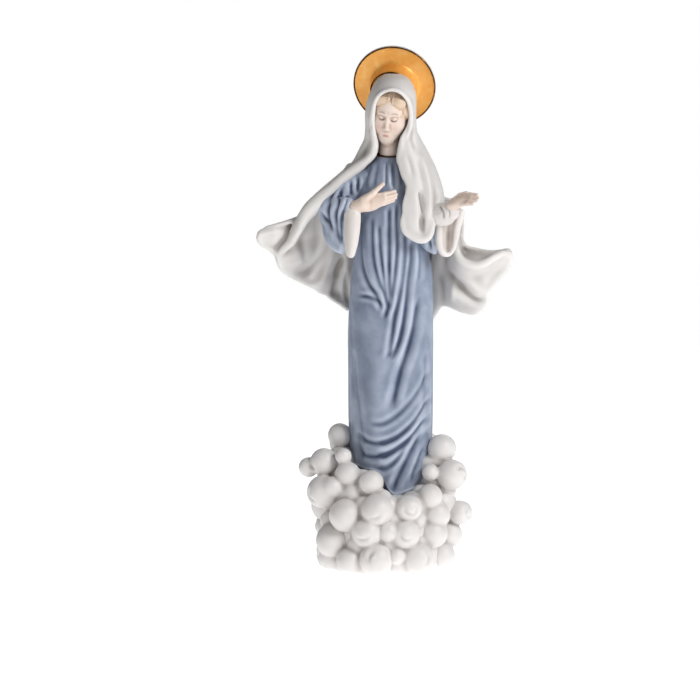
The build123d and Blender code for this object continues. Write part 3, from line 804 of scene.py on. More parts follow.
def right_cuff():
    """The pale lining that shows as a petal below the right wrist."""
    petal = [
        [(-22.4, -14.6, 205.5), (-22.8, -15.0, 196), (-22.4, -15.4, 186), (-21.4, -16.0, 178.6)],
        [(-20.2, -18.4, 205.0), (-20.6, -19.4, 196), (-20.6, -19.4, 186), (-20.3, -18.6, 177.2)],
        [(-17.0, -19.6, 204.0), (-17.2, -20.6, 196), (-17.8, -20.6, 186), (-18.9, -19.0, 176.8)],
        [(-13.9, -18.2, 203.4), (-13.9, -18.6, 196), (-15.2, -18.8, 186), (-17.4, -17.6, 178.2)],
    ]
    clay = Clay((-26, -24, 172), (-10, -9, 212), 0.35)
    clay.mesh(*sheet(petal, 1.8))
    clay.rod((-19.8, -16.6, 201.5), (-17.0, -17.6, 202.0), 2.6, 2.4, 1.5)
    clay.rod((-20, -16.2, 200), (-19.4, -17.0, 181), 2.2, 1.2, 1.5)
    clay.soften(0.5)
    finished("right_cuff", clay, LINING_GLAZE, "lining_glaze")


def left_sleeve():
    """The lowered arm, mostly under the veil, and the back of its sleeve's bell."""
    clay = Clay((6, -26, 170), (40, 14, 232), 0.45)
    clay.rod((12, 1, 219), (21, -0.5, 210.5), 8.0, 7.2, 2)
    clay.rod((21, -0.5, 210.5), (26.5, -6.5, 197), 7.2, 6.2, 2)
    bell = [
        ((21.0, -6, 193.5), 4.0, 7.5),
        ((25.5, -9.5, 191), 4.6, 10.8),
        ((29.6, -13.2, 189.8), 3.0, 12.0),
    ]
    clay.mesh(*tube(bell), blend=3)
    clay.soften(0.5)
    folds = [(1.0, 1.1, [(22.5, 200), (24, 190), (26, 180)]), (0.9, 1.0, [(26.6, 197), (27, 188), (28, 181)])]
    finished("left_sleeve", clay, ROBE_GLAZE, "robe_glaze", folds)


def left_cuff():
    """The mouth of the left sleeve: a pale rolled edge round the hollow below the wrist."""
    rim = [
        (30.8, -14.0, 200.5, 1.6), (30.2, -15.2, 194, 1.8), (30.0, -16.0, 188, 1.9),
        (30.7, -16.4, 182.6, 1.8), (32.6, -16.4, 179.2, 1.4), (35.8, -15.2, 178.8, 1.0),
        (38.4, -13.8, 182.4, 1.2), (39.6, -13, 188, 1.6), (40.6, -12.2, 194.4, 1.9),
        (42.8, -11.0, 202.2, 1.7),
    ]
    clay = Clay((24, -22, 173), (48, -4, 208), 0.35)
    clay.chain(curve(rim, 54), 0.6)
    lining = [
        [(30.8, -13.0, 200.5), (30.4, -14, 193), (30.6, -15, 186), (32.2, -15.6, 180.6)],
        [(36.0, -8.0, 201), (35.0, -8.6, 194), (34.6, -9.6, 187), (34.2, -12.4, 179.6)],
        [(42.4, -10.2, 202), (40.2, -11.6, 194.6), (39.2, -12.4, 187.6), (36.6, -14, 180.4)],
    ]
    clay.mesh(*sheet(lining, 1.5, 50, 90), blend=0.8)
    clay.soften(0.4)
    finished("left_cuff", clay, LINING_GLAZE, "lining_glaze")


def left_forearm():
    """The close inner sleeve, drawn in at the wrist."""
    clay = Clay((16, -32, 186), (48, -2, 218), 0.4)
    clay.rod((24.5, -8.5, 198.5), (31.5, -15.5, 201.2), 6.0, 6.2, 2)
    clay.rod((31.5, -15.5, 201.2), (36.2, -20.6, 204.2), 6.2, 4.7, 1.5)
    clay.rod((36.2, -20.6, 204.2), (38.2, -22.8, 205.8), 4.7, 4.1, 1)
    clay.rod((34.4, -17.5, 199.8), (37.4, -20.2, 201.6), 4.4, 3.4, 2)
    clay.ball((41.6, -26.2, 208.6), 4.4, 0.6, cut=True)
    clay.soften(0.4)
    folds = [
        (0.5, 0.7, [(29.5, 207), (32, 203), (32.5, 198)]),
        (0.5, 0.7, [(33.6, 208), (35.6, 203), (35.6, 198.5)]),
    ]
    finished("left_forearm", clay, LINING_GLAZE, "lining_glaze", folds)


def fingers(clay, *digits):
    """Each digit is a chain of stations, blended into the palm."""
    for knuckle, *rest in digits:
        clay.chain([knuckle, rest[0]], 1.2)
        clay.chain(rest, 0.5)


def right_hand():
    """The hand laid on the breast: four fingers, index first, and the raised thumb."""
    clay = Clay((-24, -26, 197), (10, -12, 223), 0.25)
    clay.rod((-16.2, -16.8, 205.2), (-12.5, -18.8, 206.7), 4.0, 3.7, 1)
    along = unit(np.array((0.97, -0.03, 0.24)))
    facing = unit(np.cross(along, np.cross((0.0, -1.0, 0.0), along)))
    clay.egg((-8.8, -19.0, 208.0), (6.8, 2.2, 5.0), (along, facing, np.cross(along, facing)), 2.0)
    fingers(
        clay,
        [(-6.5, -19.6, 211.3, 1.35), (-0.5, -20.6, 212.6, 1.25), (5.3, -19.7, 214.2, 0.95)],
        [(-6.2, -19.9, 209.3, 1.4), (-0.1, -21.0, 210.7, 1.28), (6.0, -19.9, 212.4, 0.98)],
        [(-6.4, -19.8, 207.4, 1.35), (-0.3, -20.9, 208.9, 1.22), (5.7, -19.8, 210.6, 0.94)],
        [(-6.8, -19.4, 205.5, 1.25), (-1.0, -20.3, 207.2, 1.1), (4.6, -19.4, 208.9, 0.86)],
        [(-12.0, -20.0, 209.2, 2.1), (-6.5, -21.2, 213.6, 1.6), (-1.4, -20.8, 218.2, 1.2)],
    )
    clay.soften(0.2)
    finished("right_hand", clay, FLESH_TINT, "flesh_tint", smooth=1)


def left_hand():
    """The open hand held out, palm up: four fingers, index first, and the thumb."""
    clay = Clay((27.4, -41, 197.8), (56.4, -15, 219.8), 0.25)
    clay.rod((35.8, -22.2, 205.4), (38.4, -24.8, 207.0), 3.1, 3.2, 1)
    along = unit(np.array((0.74, -0.60, 0.28)))
    flat = unit(np.cross(along, (0.55, 0.45, 0.2)))
    clay.egg((40.2, -26.4, 208.0), (5.8, 4.4, 2.6), (along, np.cross(flat, along), flat), 2.0)
    fingers(
        clay,
        [(42.0, -25.4, 210.7, 1.4), (46.6, -28.0, 212.7, 1.3), (50.8, -30.0, 212.7, 0.92)],
        [(42.8, -27.2, 209.6, 1.45), (47.6, -30.2, 211.3, 1.32), (51.4, -32.2, 211.0, 0.92)],
        [(42.4, -28.8, 208.3, 1.4), (47.0, -32.0, 209.6, 1.25), (50.4, -34.0, 209.3, 0.9)],
        [(41.4, -30.0, 207.1, 1.3), (45.2, -33.2, 207.8, 1.12), (48.2, -35.0, 207.6, 0.84)],
        [(37.8, -23.0, 208.6, 2.0), (41.4, -23.2, 212.0, 1.45), (45.0, -24.6, 213.6, 1.0)],
    )
    clay.soften(0.22)
    finished("left_hand", clay, FLESH_TINT, "flesh_tint", smooth=1)


right_sleeve()
right_cuff()
left_sleeve()
left_cuff()
left_forearm()
right_hand()
left_hand()


# --- Head and hair --------------------------------------------------------------------------------

# The head bows and turns a little to its right, and the halo is square to it.
FACE_DIR = unit(np.array((-0.160, -0.925, -0.345)))
HEAD_UP = np.array((0.100, -0.330, 0.939))
HEAD_UP = unit(HEAD_UP - FACE_DIR * HEAD_UP.dot(FACE_DIR))
HEAD_SIDE = np.cross(HEAD_UP, FACE_DIR)
HEAD_C = np.array((3.2, -3.5, 258.0))
HEAD_AXES = (HEAD_SIDE, FACE_DIR, HEAD_UP)


def at_head(across, ahead, up):
    """A point in the head's own frame: to its left, forwards and up from its middle."""
    return HEAD_C + HEAD_SIDE * across + FACE_DIR * ahead + HEAD_UP * up


def both_sides(action, *points):
    """Does something with points of the head, and again with their mirror images."""
    for side in (-1, 1):
        action(*(at_head(side * across, ahead, up) for across, ahead, up in points))


def painted_face():
    """The flesh glaze with rose on the lips and cheeks, and umber lines on lids and brows."""
    material = FLESH_TINT.copy()
    material.name = "flesh_tint_painted"
    tree = material.node_tree
    shader = tree.nodes["Principled BSDF"]
    colour = shader.inputs["Base Color"].links[0].from_socket
    colour = mix(tree, map_range(tree, stored(tree, "rose"), 0, 1, 0, 0.75), colour, srgb(190, 112, 100))
    colour = mix(tree, stored(tree, "umber"), colour, srgb(96, 64, 48))
    tree.links.new(colour, shader.inputs["Base Color"])
    return material


def peak(t, width, power=2):
    """1 at t = 0, and falling off at about width; a high power gives a flat top."""
    return np.exp(-((t / width) ** power))


def head():
    """The neck and a head of ordinary proportions, with lowered lids and a closed mouth."""
    clay = Clay((-14, -24, 226), (22, 16, 280), 0.26)
    clay.rod((2.0, 0.5, 230.5), (2.6, -1.5, 246), 5.3, 5.0, 1)
    # Skull, face, brow and chin
    clay.egg(at_head(0, -1, 4), (10.8, 13.0, 12.8), HEAD_AXES, 3)
    clay.egg(at_head(0, 3.6, -3.4), (8.4, 8.9, 11.4), HEAD_AXES, 3)
    clay.egg(at_head(0, 4.4, 6), (8.2, 8.0, 7.0), HEAD_AXES, 2)
    clay.ball(at_head(0, 8.6, -12.9), 2.7, 3.5)
    # Cheeks, jaw, eye sockets and brow ridges
    both_sides(lambda p: clay.ball(p, 4.5, 3), (4.2, 6.9, -4.0))
    both_sides(lambda p, q: clay.rod(p, q, 2.8, 2.2, 3), (5.0, 2.0, -7.6), (1.6, 7.6, -12.4))
    both_sides(lambda p: clay.egg(p, (2.5, 1.7, 1.4), HEAD_AXES, 1.6, cut=True), (3.6, 13.0, 1.2))
    both_sides(lambda p, q: clay.rod(p, q, 0.8, 0.6, 1.8), (1.4, 11.9, 3.1), (5.2, 10.5, 3.4))
    # Nose
    clay.rod(at_head(0, 11.5, 2.4), at_head(0, 13.3, -4.9), 0.75, 0.95, 1.3)
    clay.ball(at_head(0, 13.45, -5.1), 1.05, 0.8)
    both_sides(lambda p: clay.ball(p, 0.75, 0.8), (1.15, 12.4, -5.6))
    # Eyeballs under lowered lids, and the edge of each lid
    both_sides(lambda p: clay.ball(p, 2.2, 0.4), (3.5, 9.85, 0.5))
    both_sides(lambda p, q: clay.rod(p, q, 0.26, 0.3, 0.3), (1.9, 11.45, 0.3), (3.4, 12.05, -0.45))
    both_sides(lambda p, q: clay.rod(p, q, 0.3, 0.26, 0.3), (3.4, 12.05, -0.45), (5.1, 11.2, 0.15))
    # Mouth: the swell round it, then the upper and the lower lip
    clay.egg(at_head(0, 8.2, -8.2), (5.6, 3.4, 4.6), HEAD_AXES, 3)
    clay.egg(at_head(0, 10.6, -9.4), (2.9, 1.5, 1.8), HEAD_AXES, 2)
    both_sides(lambda p, q: clay.rod(p, q, 0.45, 0.22, 0.6), (0.4, 12.3, -8.9), (1.8, 11.7, -9.3))
    both_sides(lambda p, q: clay.rod(p, q, 0.52, 0.25, 0.6), (0.2, 12.2, -10.1), (1.6, 11.6, -9.7))
    clay.soften(0.24)
    verts, quads = clay.surface()
    obj = glazed("head", verts, quads, painted_face(), "flesh_tint", ["head"])

    across, ahead, up = ((verts - HEAD_C) @ axis for axis in HEAD_AXES)
    across = np.abs(across)
    face = ahead > 6
    lips = peak(up + 9.5, 0.85, 4) * peak(across, 1.75, 4)
    blush = 0.3 * peak(across - 4.6, 2.6) * peak(up + 4.4, 2.6)
    lash = peak(up + 0.55 - 0.24 * (across - 3.4) ** 2, 0.4) * peak(across - 3.45, 1.8, 6)
    brow = 0.6 * peak(up - 4.1 + 0.12 * (across - 3.4) ** 2, 0.36) * peak(across - 3.6, 2.0, 6)
    store(obj, "rose", np.clip((lips + blush) * face, 0, 1))
    store(obj, "umber", np.clip((lash + brow) * face, 0, 1))


def hair():
    """Hair drawn back in waves from a parting, framing the brow and temples."""
    clay = Clay((-14, -24, 244), (22, 10, 280), 0.26)
    clay.egg(at_head(0, -1.2, 4.4), (11.5, 13.5, 13.1), HEAD_AXES)
    both_sides(lambda p: clay.egg(p, (4.8, 3.4, 3.6), HEAD_AXES, 2.5), (4.0, 8.6, 9.2))
    both_sides(lambda p: clay.egg(p, (2.6, 4.2, 5.0), HEAD_AXES, 2.5), (8.6, 4.4, 3.4))
    clay.egg(at_head(0, 14.5, -5.6), (8.9, 10.0, 13.6), HEAD_AXES, 1.2, cut=True)
    clay.egg(at_head(0, -6, -13), (16, 16, 12), HEAD_AXES, 1.0, cut=True)
    clay.soften(0.25)
    verts, quads = clay.surface()
    normals = normals_of(verts, quads)
    across, _, up = ((verts - HEAD_C) @ axis for axis in HEAD_AXES)
    # The parting, and then six locks on each side
    locks = [(0.45, 0.5, [(0.3, 7.5), (0.4, 11), (0.4, 15)])]
    for side in (-1, 1):
        for k in range(6):
            lift = 1.25 * k
            locks.append((0.2, 0.45, [
                (0.4 + side * 0.6, 9.2 + lift), (side * 3.2, 9.0 + lift), (side * 6.2, 6.4 + lift),
                (side * (8.6 + 0.1 * k), 2.4 + lift), (side * (9.8 + 0.2 * k), -2.5 + lift),
            ]))
    seen = smoothstep((normals @ FACE_DIR + 0.1) / 0.3)
    verts = verts + normals * (relief(across, up, locks) * seen)[:, None]
    glazed("hair", verts, quads, HAIR_TINT, "hair_tint", ["hair"], spread=5)


head()
hair()


# --- Veil -----------------------------------------------------------------------------------------

# Ellipses up the hood: height, centre x, centre y, half width, half depth
HOOD = [
    (222.0, 3.2, 2.0, 27.0, 13.5),
    (226.0, 3.4, 2.0, 25.0, 14.2),
    (231.0, 4.0, 2.0, 21.8, 14.0),
    (238.0, 3.8, 1.5, 18.0, 13.5),
    (243.0, 3.4, 0.5, 15.2, 14.0),
    (250.0, 3.2, -1.0, 14.4, 16.0),
    (257.0, 3.1, -2.0, 14.4, 17.5),
    (264.0, 3.6, -2.8, 13.9, 18.2),
    (270.0, 4.4, -3.0, 12.4, 17.5),
    (276.0, 4.6, -1.5, 9.2, 13.5),
    (279.2, 4.4, 0.0, 4.6, 6.5),
]
HOOD_WALL = 2.6
# The wing on the figure's right runs from a root behind the arm out to a free edge.
RIGHT_ROOT = [
    (-19, 5, 229), (-25, 6, 216), (-28, 9, 204), (-26, 12, 193), (-23, 15, 183), (-21, 17, 172),
    (-19.5, 18, 160), (-18, 18, 150),
]
RIGHT_EDGE = [
    (-31, 1, 217.5), (-36.5, 1, 213.4), (-42, 1, 208.6), (-46, 1, 203.2), (-50.3, 0.5, 197.8),
    (-54.7, 0, 195.0), (-59, 0, 193.8), (-64, 0, 193.3), (-68, 0, 192.6), (-71.4, 0, 190.6),
    (-72.3, 0, 188), (-71.6, 0, 184.6), (-69, 0.5, 181.8), (-64.6, 1, 179), (-61.8, 2, 176),
    (-61, 3, 172.6), (-59, 4, 168.6), (-55, 5, 165), (-50.3, 6, 162.6), (-45.5, 8, 160.4), (-41, 9, 158.4),
    (-37.4, 11, 155.2), (-34, 12.5, 153.8), (-31.2, 13.5, 151.8), (-26.6, 15, 149), (-20.5, 16, 144.9),
]
# The wing on its left is scooped: each row runs from the crest behind, down into the trough,
# up and over a rolled lip, and down to the hem.
LEFT_WING = [
    [(28, 6, 212), (28, 9, 205), (28, 10, 197), (28, 10, 188), (26, 12, 174), (23, 15, 158), (21, 18, 139)],
    [(34, 4, 210), (34, 7, 202), (34, 8, 194), (34, 6, 188), (31, 8, 176), (29, 12, 160), (27, 15, 139.5)],
    [(40, 3, 207.6), (40.5, 5, 199), (40, 7, 192), (37.2, -1, 189),
     (34.6, 7, 174), (33, 9, 160), (32, 13, 147)],
    [(43.4, 3, 199), (43.4, 5, 193), (42.2, 5, 185), (39.0, -8, 183.5),
     (36.6, 5, 170), (36, 6, 158), (35.4, 11, 147.6)],
    [(42.7, 4, 188.5), (43.6, 6, 183.6), (43, 4, 178), (41.2, -11, 177.2),
     (40, 1.6, 167), (39.6, 4, 156), (40, 9, 145.8)],
    [(45.5, 4, 183.2), (46.5, 6, 179.5), (46.4, 2, 175), (44.6, -12.5, 173.8),
     (43.8, 0.6, 164.4), (43.6, 4, 153), (44.6, 8, 144.2)],
    [(51.5, 4, 181.4), (52.5, 5, 178.6), (52, 0, 174.6), (50, -13, 172.2),
     (49, -2, 164.2), (49.6, 3, 153), (51.4, 6, 143.6)],
    [(57, 3, 180.4), (58, 3, 178.2), (57.4, -1, 175), (55.4, -12.5, 173.6),
     (54.8, -4, 166.8), (55, 1, 158), (57.4, 4, 149.4)],
    [(62, 1.5, 180.4), (63.4, 1, 179), (62.8, -2, 177), (60.4, -10.5, 176.6),
     (59.6, -5, 170.2), (58.6, 0, 163), (58.4, 3, 155.4)],
    [(66, 0, 180.8), (67.2, -1, 180.2), (67, -3, 179.2), (65.6, -7, 179),
     (64.8, -4.6, 173.4), (64, -1, 168), (63, 1.5, 161.4)],
    [(69.6, -1, 180.9), (70.6, -2, 180.8), (71, -3, 179.8), (71.5, -4, 178),
     (71.4, -3, 174.5), (70.4, -1.5, 171), (68.6, 0, 167.6)],
]
# The panel down the back, and the length that hangs in front of the left shoulder: rows of
# points from top to bottom, set out from the figure's right to its left
BACK = [
    [(-21, 5, 228), (-28, 9, 207), (-23.5, 15, 180), (-19, 18, 144.6)],
    [(-9, 12, 229), (-9, 18, 205), (-9, 21, 172), (-9, 22, 141)],
    [(4, 14, 230), (4, 19.5, 205), (4, 23, 172), (4, 24, 138.5)],
    [(16, 12, 229), (17, 18, 205), (18, 21, 172), (17, 22, 138)],
    [(27, 5, 227), (32, 8, 207), (29, 13, 176), (24, 16, 139)],
]
DRAPE = [
    [(8.5, -9, 245), (6.8, -12, 232), (8.5, -15, 223), (11.5, -17.5, 216.5),
     (9.4, -18.8, 207), (9.6, -19, 198), (10.8, -18.8, 192.2)],
    [(11, -9.5, 246), (10.5, -13, 233), (12.5, -16, 223), (14.5, -18.6, 214),
     (13.6, -20, 205), (14, -20.5, 196), (14.8, -20, 189.0)],
    [(14, -8, 246), (15, -12, 234), (17.5, -15, 224), (19, -18, 214),
     (19.5, -19.5, 205), (19.5, -20, 195), (19.3, -20, 187.2)],
    [(16.5, -5, 246), (19, -9, 235), (22.5, -12.5, 225), (24.5, -15.5, 215),
     (25.3, -18, 205), (25.6, -18.6, 196), (24.6, -18.6, 189.6)],
    [(17.5, 0, 245), (22, -4, 236), (26.5, -7.5, 226), (29.5, -10.5, 217),
     (30.5, -13, 210), (30, -14, 205), (29, -14, 201)],
    [(17.5, 6, 244), (23, 3, 235), (27.5, 0, 226), (30.5, -2, 218),
     (32, -4, 212), (32.4, -5.5, 209), (32, -7, 206)],
]
# Grooves of the wings and the drape from the front, and of the back: depth, half width, points (x, z).
# A negative depth is a ridge.
WING_FOLDS = [
    (0.9, 2.4, [(-40.5, 201), (-39, 195), (-38.5, 186), (-40, 178), (-43, 172)]),
    (0.6, 1.6, [(-47.6, 189), (-47.4, 183), (-46, 177), (-44, 172)]),
    (-1.3, 1.8, [(-45, 199), (-48.4, 191), (-52.3, 184.2), (-57.5, 178.2)]),
    (0.4, 1.8, [(-53, 193), (-56, 187), (-60, 182)]),
    (-0.9, 1.5, [(-60, 190.5), (-62, 186), (-65, 181.6)]),
    (0.9, 1.5, [(-31, 186), (-35, 177), (-42, 169), (-49, 164.6)]),
    (-1.0, 2.0, [(-42, 179), (-47, 174.5), (-54, 170)]),
    (-0.9, 1.6, [(-28, 180), (-32.6, 168.7), (-36.5, 159)]),
    (1.4, 1.4, [(-22.7, 176.4), (-26.6, 168.7), (-28.8, 157.6), (-30, 151.6)]),
    (-0.9, 1.3, [(-20.7, 174.4), (-23.9, 160), (-23, 147)]),
    (1.6, 1.7, [(33.5, 170), (38.7, 163.6), (43.3, 158.9), (47.6, 154.4), (52, 151.8), (58, 152.4)]),
    (-1.2, 2.0, [(40, 169), (46, 164), (52, 158.5), (58, 155.5)]),
    (-1.0, 2.0, [(35, 160), (40, 154), (46, 149)]),
    (0.7, 1.5, [(30.5, 168), (32, 158), (33.6, 150)]),
    (-0.8, 1.2, [(38, 162.5), (38.4, 155), (38.4, 149.5)]),
]
DRAPE_FOLDS = [
    (1.2, 1.5, [(18.6, 216), (20.0, 209), (20.6, 202), (20.2, 194)]),
    (-0.9, 1.6, [(19, 236), (22.6, 226), (24.6, 216), (25, 207), (24.4, 198)]),
    (0.7, 1.4, [(27.2, 219), (28.4, 212), (27.6, 206), (25.8, 200)]),
    (0.5, 1.2, [(11.4, 236), (14.0, 228), (15.4, 221)]),
    (0.9, 0.9, [(12.8, 252), (11.2, 246), (9.9, 240)]),
    (0.7, 1.0, [(15.6, 250), (15.2, 243), (16.6, 236)]),
    (0.8, 1.1, [(-8.8, 254), (-8.9, 249), (-9.2, 245)]),
    (1.6, 1.6, [(-9.6, 245), (-10.6, 239.5), (-12.8, 235), (-16.4, 231.6)]),
]
BACK_FOLDS = [
    (1.9, 2.2, [(-12, 224), (-15.5, 203), (-17.5, 180), (-16, 160), (-13.5, 145)]),
    (2.1, 2.6, [(-3, 226), (-5.5, 204), (-4, 180), (-6.5, 160), (-5, 143)]),
    (1.6, 2.0, [(5, 226), (9.5, 207), (12, 188), (10.5, 165), (13, 146)]),
    (2.2, 2.4, [(14, 225), (20, 206), (24.5, 184), (22, 160), (21, 144)]),
    (1.3, 1.8, [(1, 203), (3.5, 185), (1.5, 165), (4, 142)]),
    (1.0, 1.6, [(-10.5, 194), (-11.5, 172), (-9.6, 150)]),
    (1.2, 1.7, [(16, 198), (18.5, 176), (16, 152)]),
    (1.2, 1.8, [(-20, 210), (-24, 190), (-22, 168)]),
    (-1.0, 2.4, [(0, 216), (1, 200), (-0.5, 186)]),
]


def block(outline, low, high):
    """A prism along Y between two depths, through an outline of points (x, z)."""
    path = curve(list(outline) + [outline[0]], 10 * len(outline))[:-1]
    n = len(path)
    verts = np.concatenate([
        np.stack([path[:, 0], np.full(n, low), path[:, 1]], -1),
        np.stack([path[:, 0], np.full(n, high), path[:, 1]], -1),
        [(path[:, 0].mean(), low, path[:, 1].mean()), (path[:, 0].mean(), high, path[:, 1].mean())],
    ])
    k = np.arange(n)
    turn = np.roll(k, -1)
    quads = np.stack([k, turn, turn + n, k + n], -1)
    tris = np.concatenate([
        np.stack([turn, k, np.full(n, 2 * n)], -1), np.stack([k + n, turn + n, np.full(n, 2 * n + 1)], -1)
    ])
    return verts, quads, tris


def on_hood(x, z, r):
    """A station of radius r on the front of the hood at x and z."""
    table = curve(HOOD, 120)
    cx, cy, a, b = (np.interp(z, table[:, 0], table[:, k]) for k in range(1, 5))
    return x, cy - b * math.sqrt(max(1 - ((x - cx) / a) ** 2, 0.0)), z, r


def rolled(clay, stations, blend):
    """A rolled edge that runs smoothly through stations."""
    clay.chain(curve(stations, 4 * len(stations)), blend)


def right_swell(t, s):
    """Broad waves that open towards the free edge, and a full, rounded tip."""
    waves = 1.7 * np.sin(2 * math.pi * (5.2 * t + 0.1)) * s**1.3 * smoothstep((t - 0.2) / 0.15)
    tip = 3.2 * np.exp(-(((t - 0.4) / 0.09) ** 2)) * smoothstep((s - 0.35) / 0.5)
    return waves + tip - 2.0 * np.sin(math.pi * s) * smoothstep((t - 0.25) / 0.2)


def hood(clay):
    """The hollow hood, open at the face and scooped where it turns onto the right shoulder."""
    bottom, *sides, top = HOOD
    hollow = [(bottom[0] - 3, *bottom[1:]), *sides, (top[0] - HOOD_WALL, 4.5, -0.5, 5.0, 6.0)]
    clay.mesh(*level_loft(HOOD))
    clay.mesh(*level_loft(hollow, HOOD_WALL), cut=True)
    opening = [
        (-3.6, 267.8), (-5.8, 263), (-6.4, 256), (-6.6, 250.5), (-5.6, 244), (-4.8, 238), (-9.2, 229.5),
        (-20.2, 222), (-24, 214), (-6, 208), (10, 212), (9.0, 222), (7.0, 231), (8.6, 240), (12.0, 248.8),
        (13.4, 254), (13.2, 260), (11.6, 265.2), (8.0, 268.8), (2, 270.0),
    ]
    clay.mesh(*block(opening, -40, 0.5), blend=0.6, cut=True)
    clay.egg((-13.4, -12.5, 238.0), (3.0, 8.6, 5.6), blend=1.2, cut=True)


def rolled_edges(clay):
    """The rolled edges of the drape, of the hood on each side, and of the band to the right wing."""
    rolled(clay, [
        (9.6, -19.4, 200, 0.6), (9.8, -19.6, 195.4, 0.8), (11.2, -19.8, 191.6, 1.0), (14.8, -20, 188.8, 1.1),
        (18.8, -20, 187.0, 1.2), (22.6, -19.8, 187.4, 1.2), (25.2, -19.4, 190.4, 1.1), (26, -19, 195, 0.9),
        (25.8, -18.6, 200, 0.7),
    ], 1.8)
    # The loop at the foot of the drape closes round a pocket.
    clay.egg((20.6, -18.2, 195.8), (4.0, 1.9, 6.4), blend=1)
    clay.egg((20.4, -21.8, 195.2), (1.9, 2.5, 4.8), blend=0.8, cut=True)
    rolled(clay, [on_hood(*p) for p in (
        (8.8, 269, 0.5), (12.4, 265, 0.7), (14.1, 259.6, 0.8), (14.3, 253.2, 0.9), (12.9, 248.4, 1.0),
        (10.2, 243.6, 1.1), (8.6, 237, 1.2), (7.6, 230.5, 1.2),
    )], 1.6)
    rolled(clay, [on_hood(*p) for p in (
        (8.8, 269, 0.5), (5.2, 270.6, 0.4), (1.6, 270.4, 0.4), (-2.6, 268.4, 0.6), (-5.6, 264.4, 0.8),
        (-7.2, 257, 1.0), (-7.4, 250.5, 1.1), (-6.4, 244, 1.2), (-5.8, 239, 1.4),
    )] + [(-7.4, -8.5, 233.6, 1.6), (-13.0, -7.0, 229.2, 1.8)], 1.6)
    rolled(clay, [
        (-13.0, -6.4, 228.6, 1.7), (-18, -5, 225.0, 1.8), (-24, -4.4, 220.4, 1.9), (-31, -4, 213.8, 2.3),
        (-37, -4.5, 208.4, 3.0), (-42, -3.8, 203.4, 3.1), (-46.5, -1.6, 197.2, 2.5), (-50.5, 0.2, 190.4, 1.9),
        (-54.5, 1.6, 184, 1.4), (-59, 2.6, 178.6, 0.9),
    ], 2.6)


def veil():
    """The veil in one piece: hood, wings, back and drape, with their rolled edges and folds."""
    clay = Clay((-78, -30, 130), (78, 34, 286), 0.72)
    hood(clay)
    right_wing = fan(RIGHT_ROOT, RIGHT_EDGE, int(100 / COARSE), int(200 / COARSE), right_swell)
    clay.mesh(*thickened(right_wing, 2.3), blend=1.5)
    clay.mesh(*sheet(LEFT_WING, 2.2, 150, 150), blend=1.0)
    clay.mesh(*sheet(BACK, 2.8), blend=2)
    clay.mesh(*sheet(DRAPE, 2.4), blend=1.5)
    lip_radii = (1.2, 1.5, 1.7, 1.8, 1.8, 1.7, 1.5, 1.3)
    rolled(clay, [(*row[3], r) for row, r in zip(LEFT_WING[2:10], lip_radii)], 1.2)
    rolled_edges(clay)
    clay.soften(0.55)
    verts, quads = clay.surface()
    verts = relax(verts, quads, 3)
    normals = normals_of(verts, quads)
    x, z = verts[:, 0], verts[:, 2]
    wing = (x < -24) | ((z < 182) & (np.abs(x) > 19))
    ahead = smoothstep((-normals[:, 1] - 0.1) / 0.3)
    behind = smoothstep((normals[:, 1] - 0.1) / 0.3)
    height = ahead * np.where(wing, relief(x, z, WING_FOLDS), relief(x, z, DRAPE_FOLDS))
    height += behind * relief(x, z, BACK_FOLDS)
    verts = relax(verts + normals * height[:, None], quads, 1)
    nodes = ("veil_hood", "veil_back", "veil_right_wing", "veil_left_wing", "veil_front_drape")
    glazed("veil", verts, quads, VEIL_GLAZE, "veil_glaze", nodes, spread=8)


veil()


# --- Halo and neckband ----------------------------------------------------------------------------


def gold_lustre():
    """Fired gold on the face of the halo, worn thin in places, over white porcelain behind."""
    material, tree, shader = new_material("gold_lustre")
    normal = node(tree, "ShaderNodeTexCoord").outputs["Normal"]
    facing = node(tree, "ShaderNodeVectorMath", {0: normal, 1: tuple(FACE_DIR)}, operation="DOT_PRODUCT")
    gilded = map_range(tree, facing.outputs["Value"], -0.35, -0.15, 0.0, 1.0)
    mottled = ramp(tree, noise(tree, 160.0, 5.0, 0.6), [
        (0.3, srgb(236, 160, 66)), (0.55, srgb(243, 178, 88)), (0.75, srgb(249, 198, 120)),
    ])
    colour = mix(tree, gilded, srgb(214, 211, 207), mottled)
    surfaced(tree, shader, colour, (120.0, 3.0, 0.34, 0.44), (300.0, 2.0, 0.2, 0.03))
    tree.links.new(map_range(tree, gilded, 0, 1, 0.0, 0.25), shader.inputs["Metallic"])
    return material


def gilt_line():
    """A dark gold line."""
    material, tree, shader = new_material("gilt_line")
    mottled = ramp(tree, noise(tree, 260.0, 5.0, 0.6), [
        (0.3, srgb(62, 36, 12)), (0.55, srgb(96, 60, 22)), (0.75, srgb(160, 108, 48)),
    ])
    surfaced(tree, shader, mottled, (400.0, 4.0, 0.25, 0.42), (500.0, 4.0, 0.3, 0.05))
    shader.inputs["Metallic"].default_value = 0.85
    return material


GOLD = gold_lustre()
GILT = gilt_line()


# The halo's middle, and the directions across it and up it
HALO_C = np.array((5.6, 16.5, 272.88))
HALO_SIDE = unit(np.cross((0.0, 0.0, 1.0), FACE_DIR))
HALO_UP = np.cross(FACE_DIR, HALO_SIDE)
HALO_STEPS = 200


def round_halo(radius, ahead):
    """Points round the halo's axis, at a radius and a height in front of its middle."""
    angle = turns(HALO_STEPS)[:, None]
    return HALO_C + FACE_DIR * ahead + radius * (HALO_SIDE * np.cos(angle) + HALO_UP * np.sin(angle))


def turned(outline, count):
    """A closed ring turned about the halo's axis, from a closed outline of (radius, ahead)."""
    return joined(np.stack([round_halo(r, h) for r, h in curve(outline, count)[:-1]]))


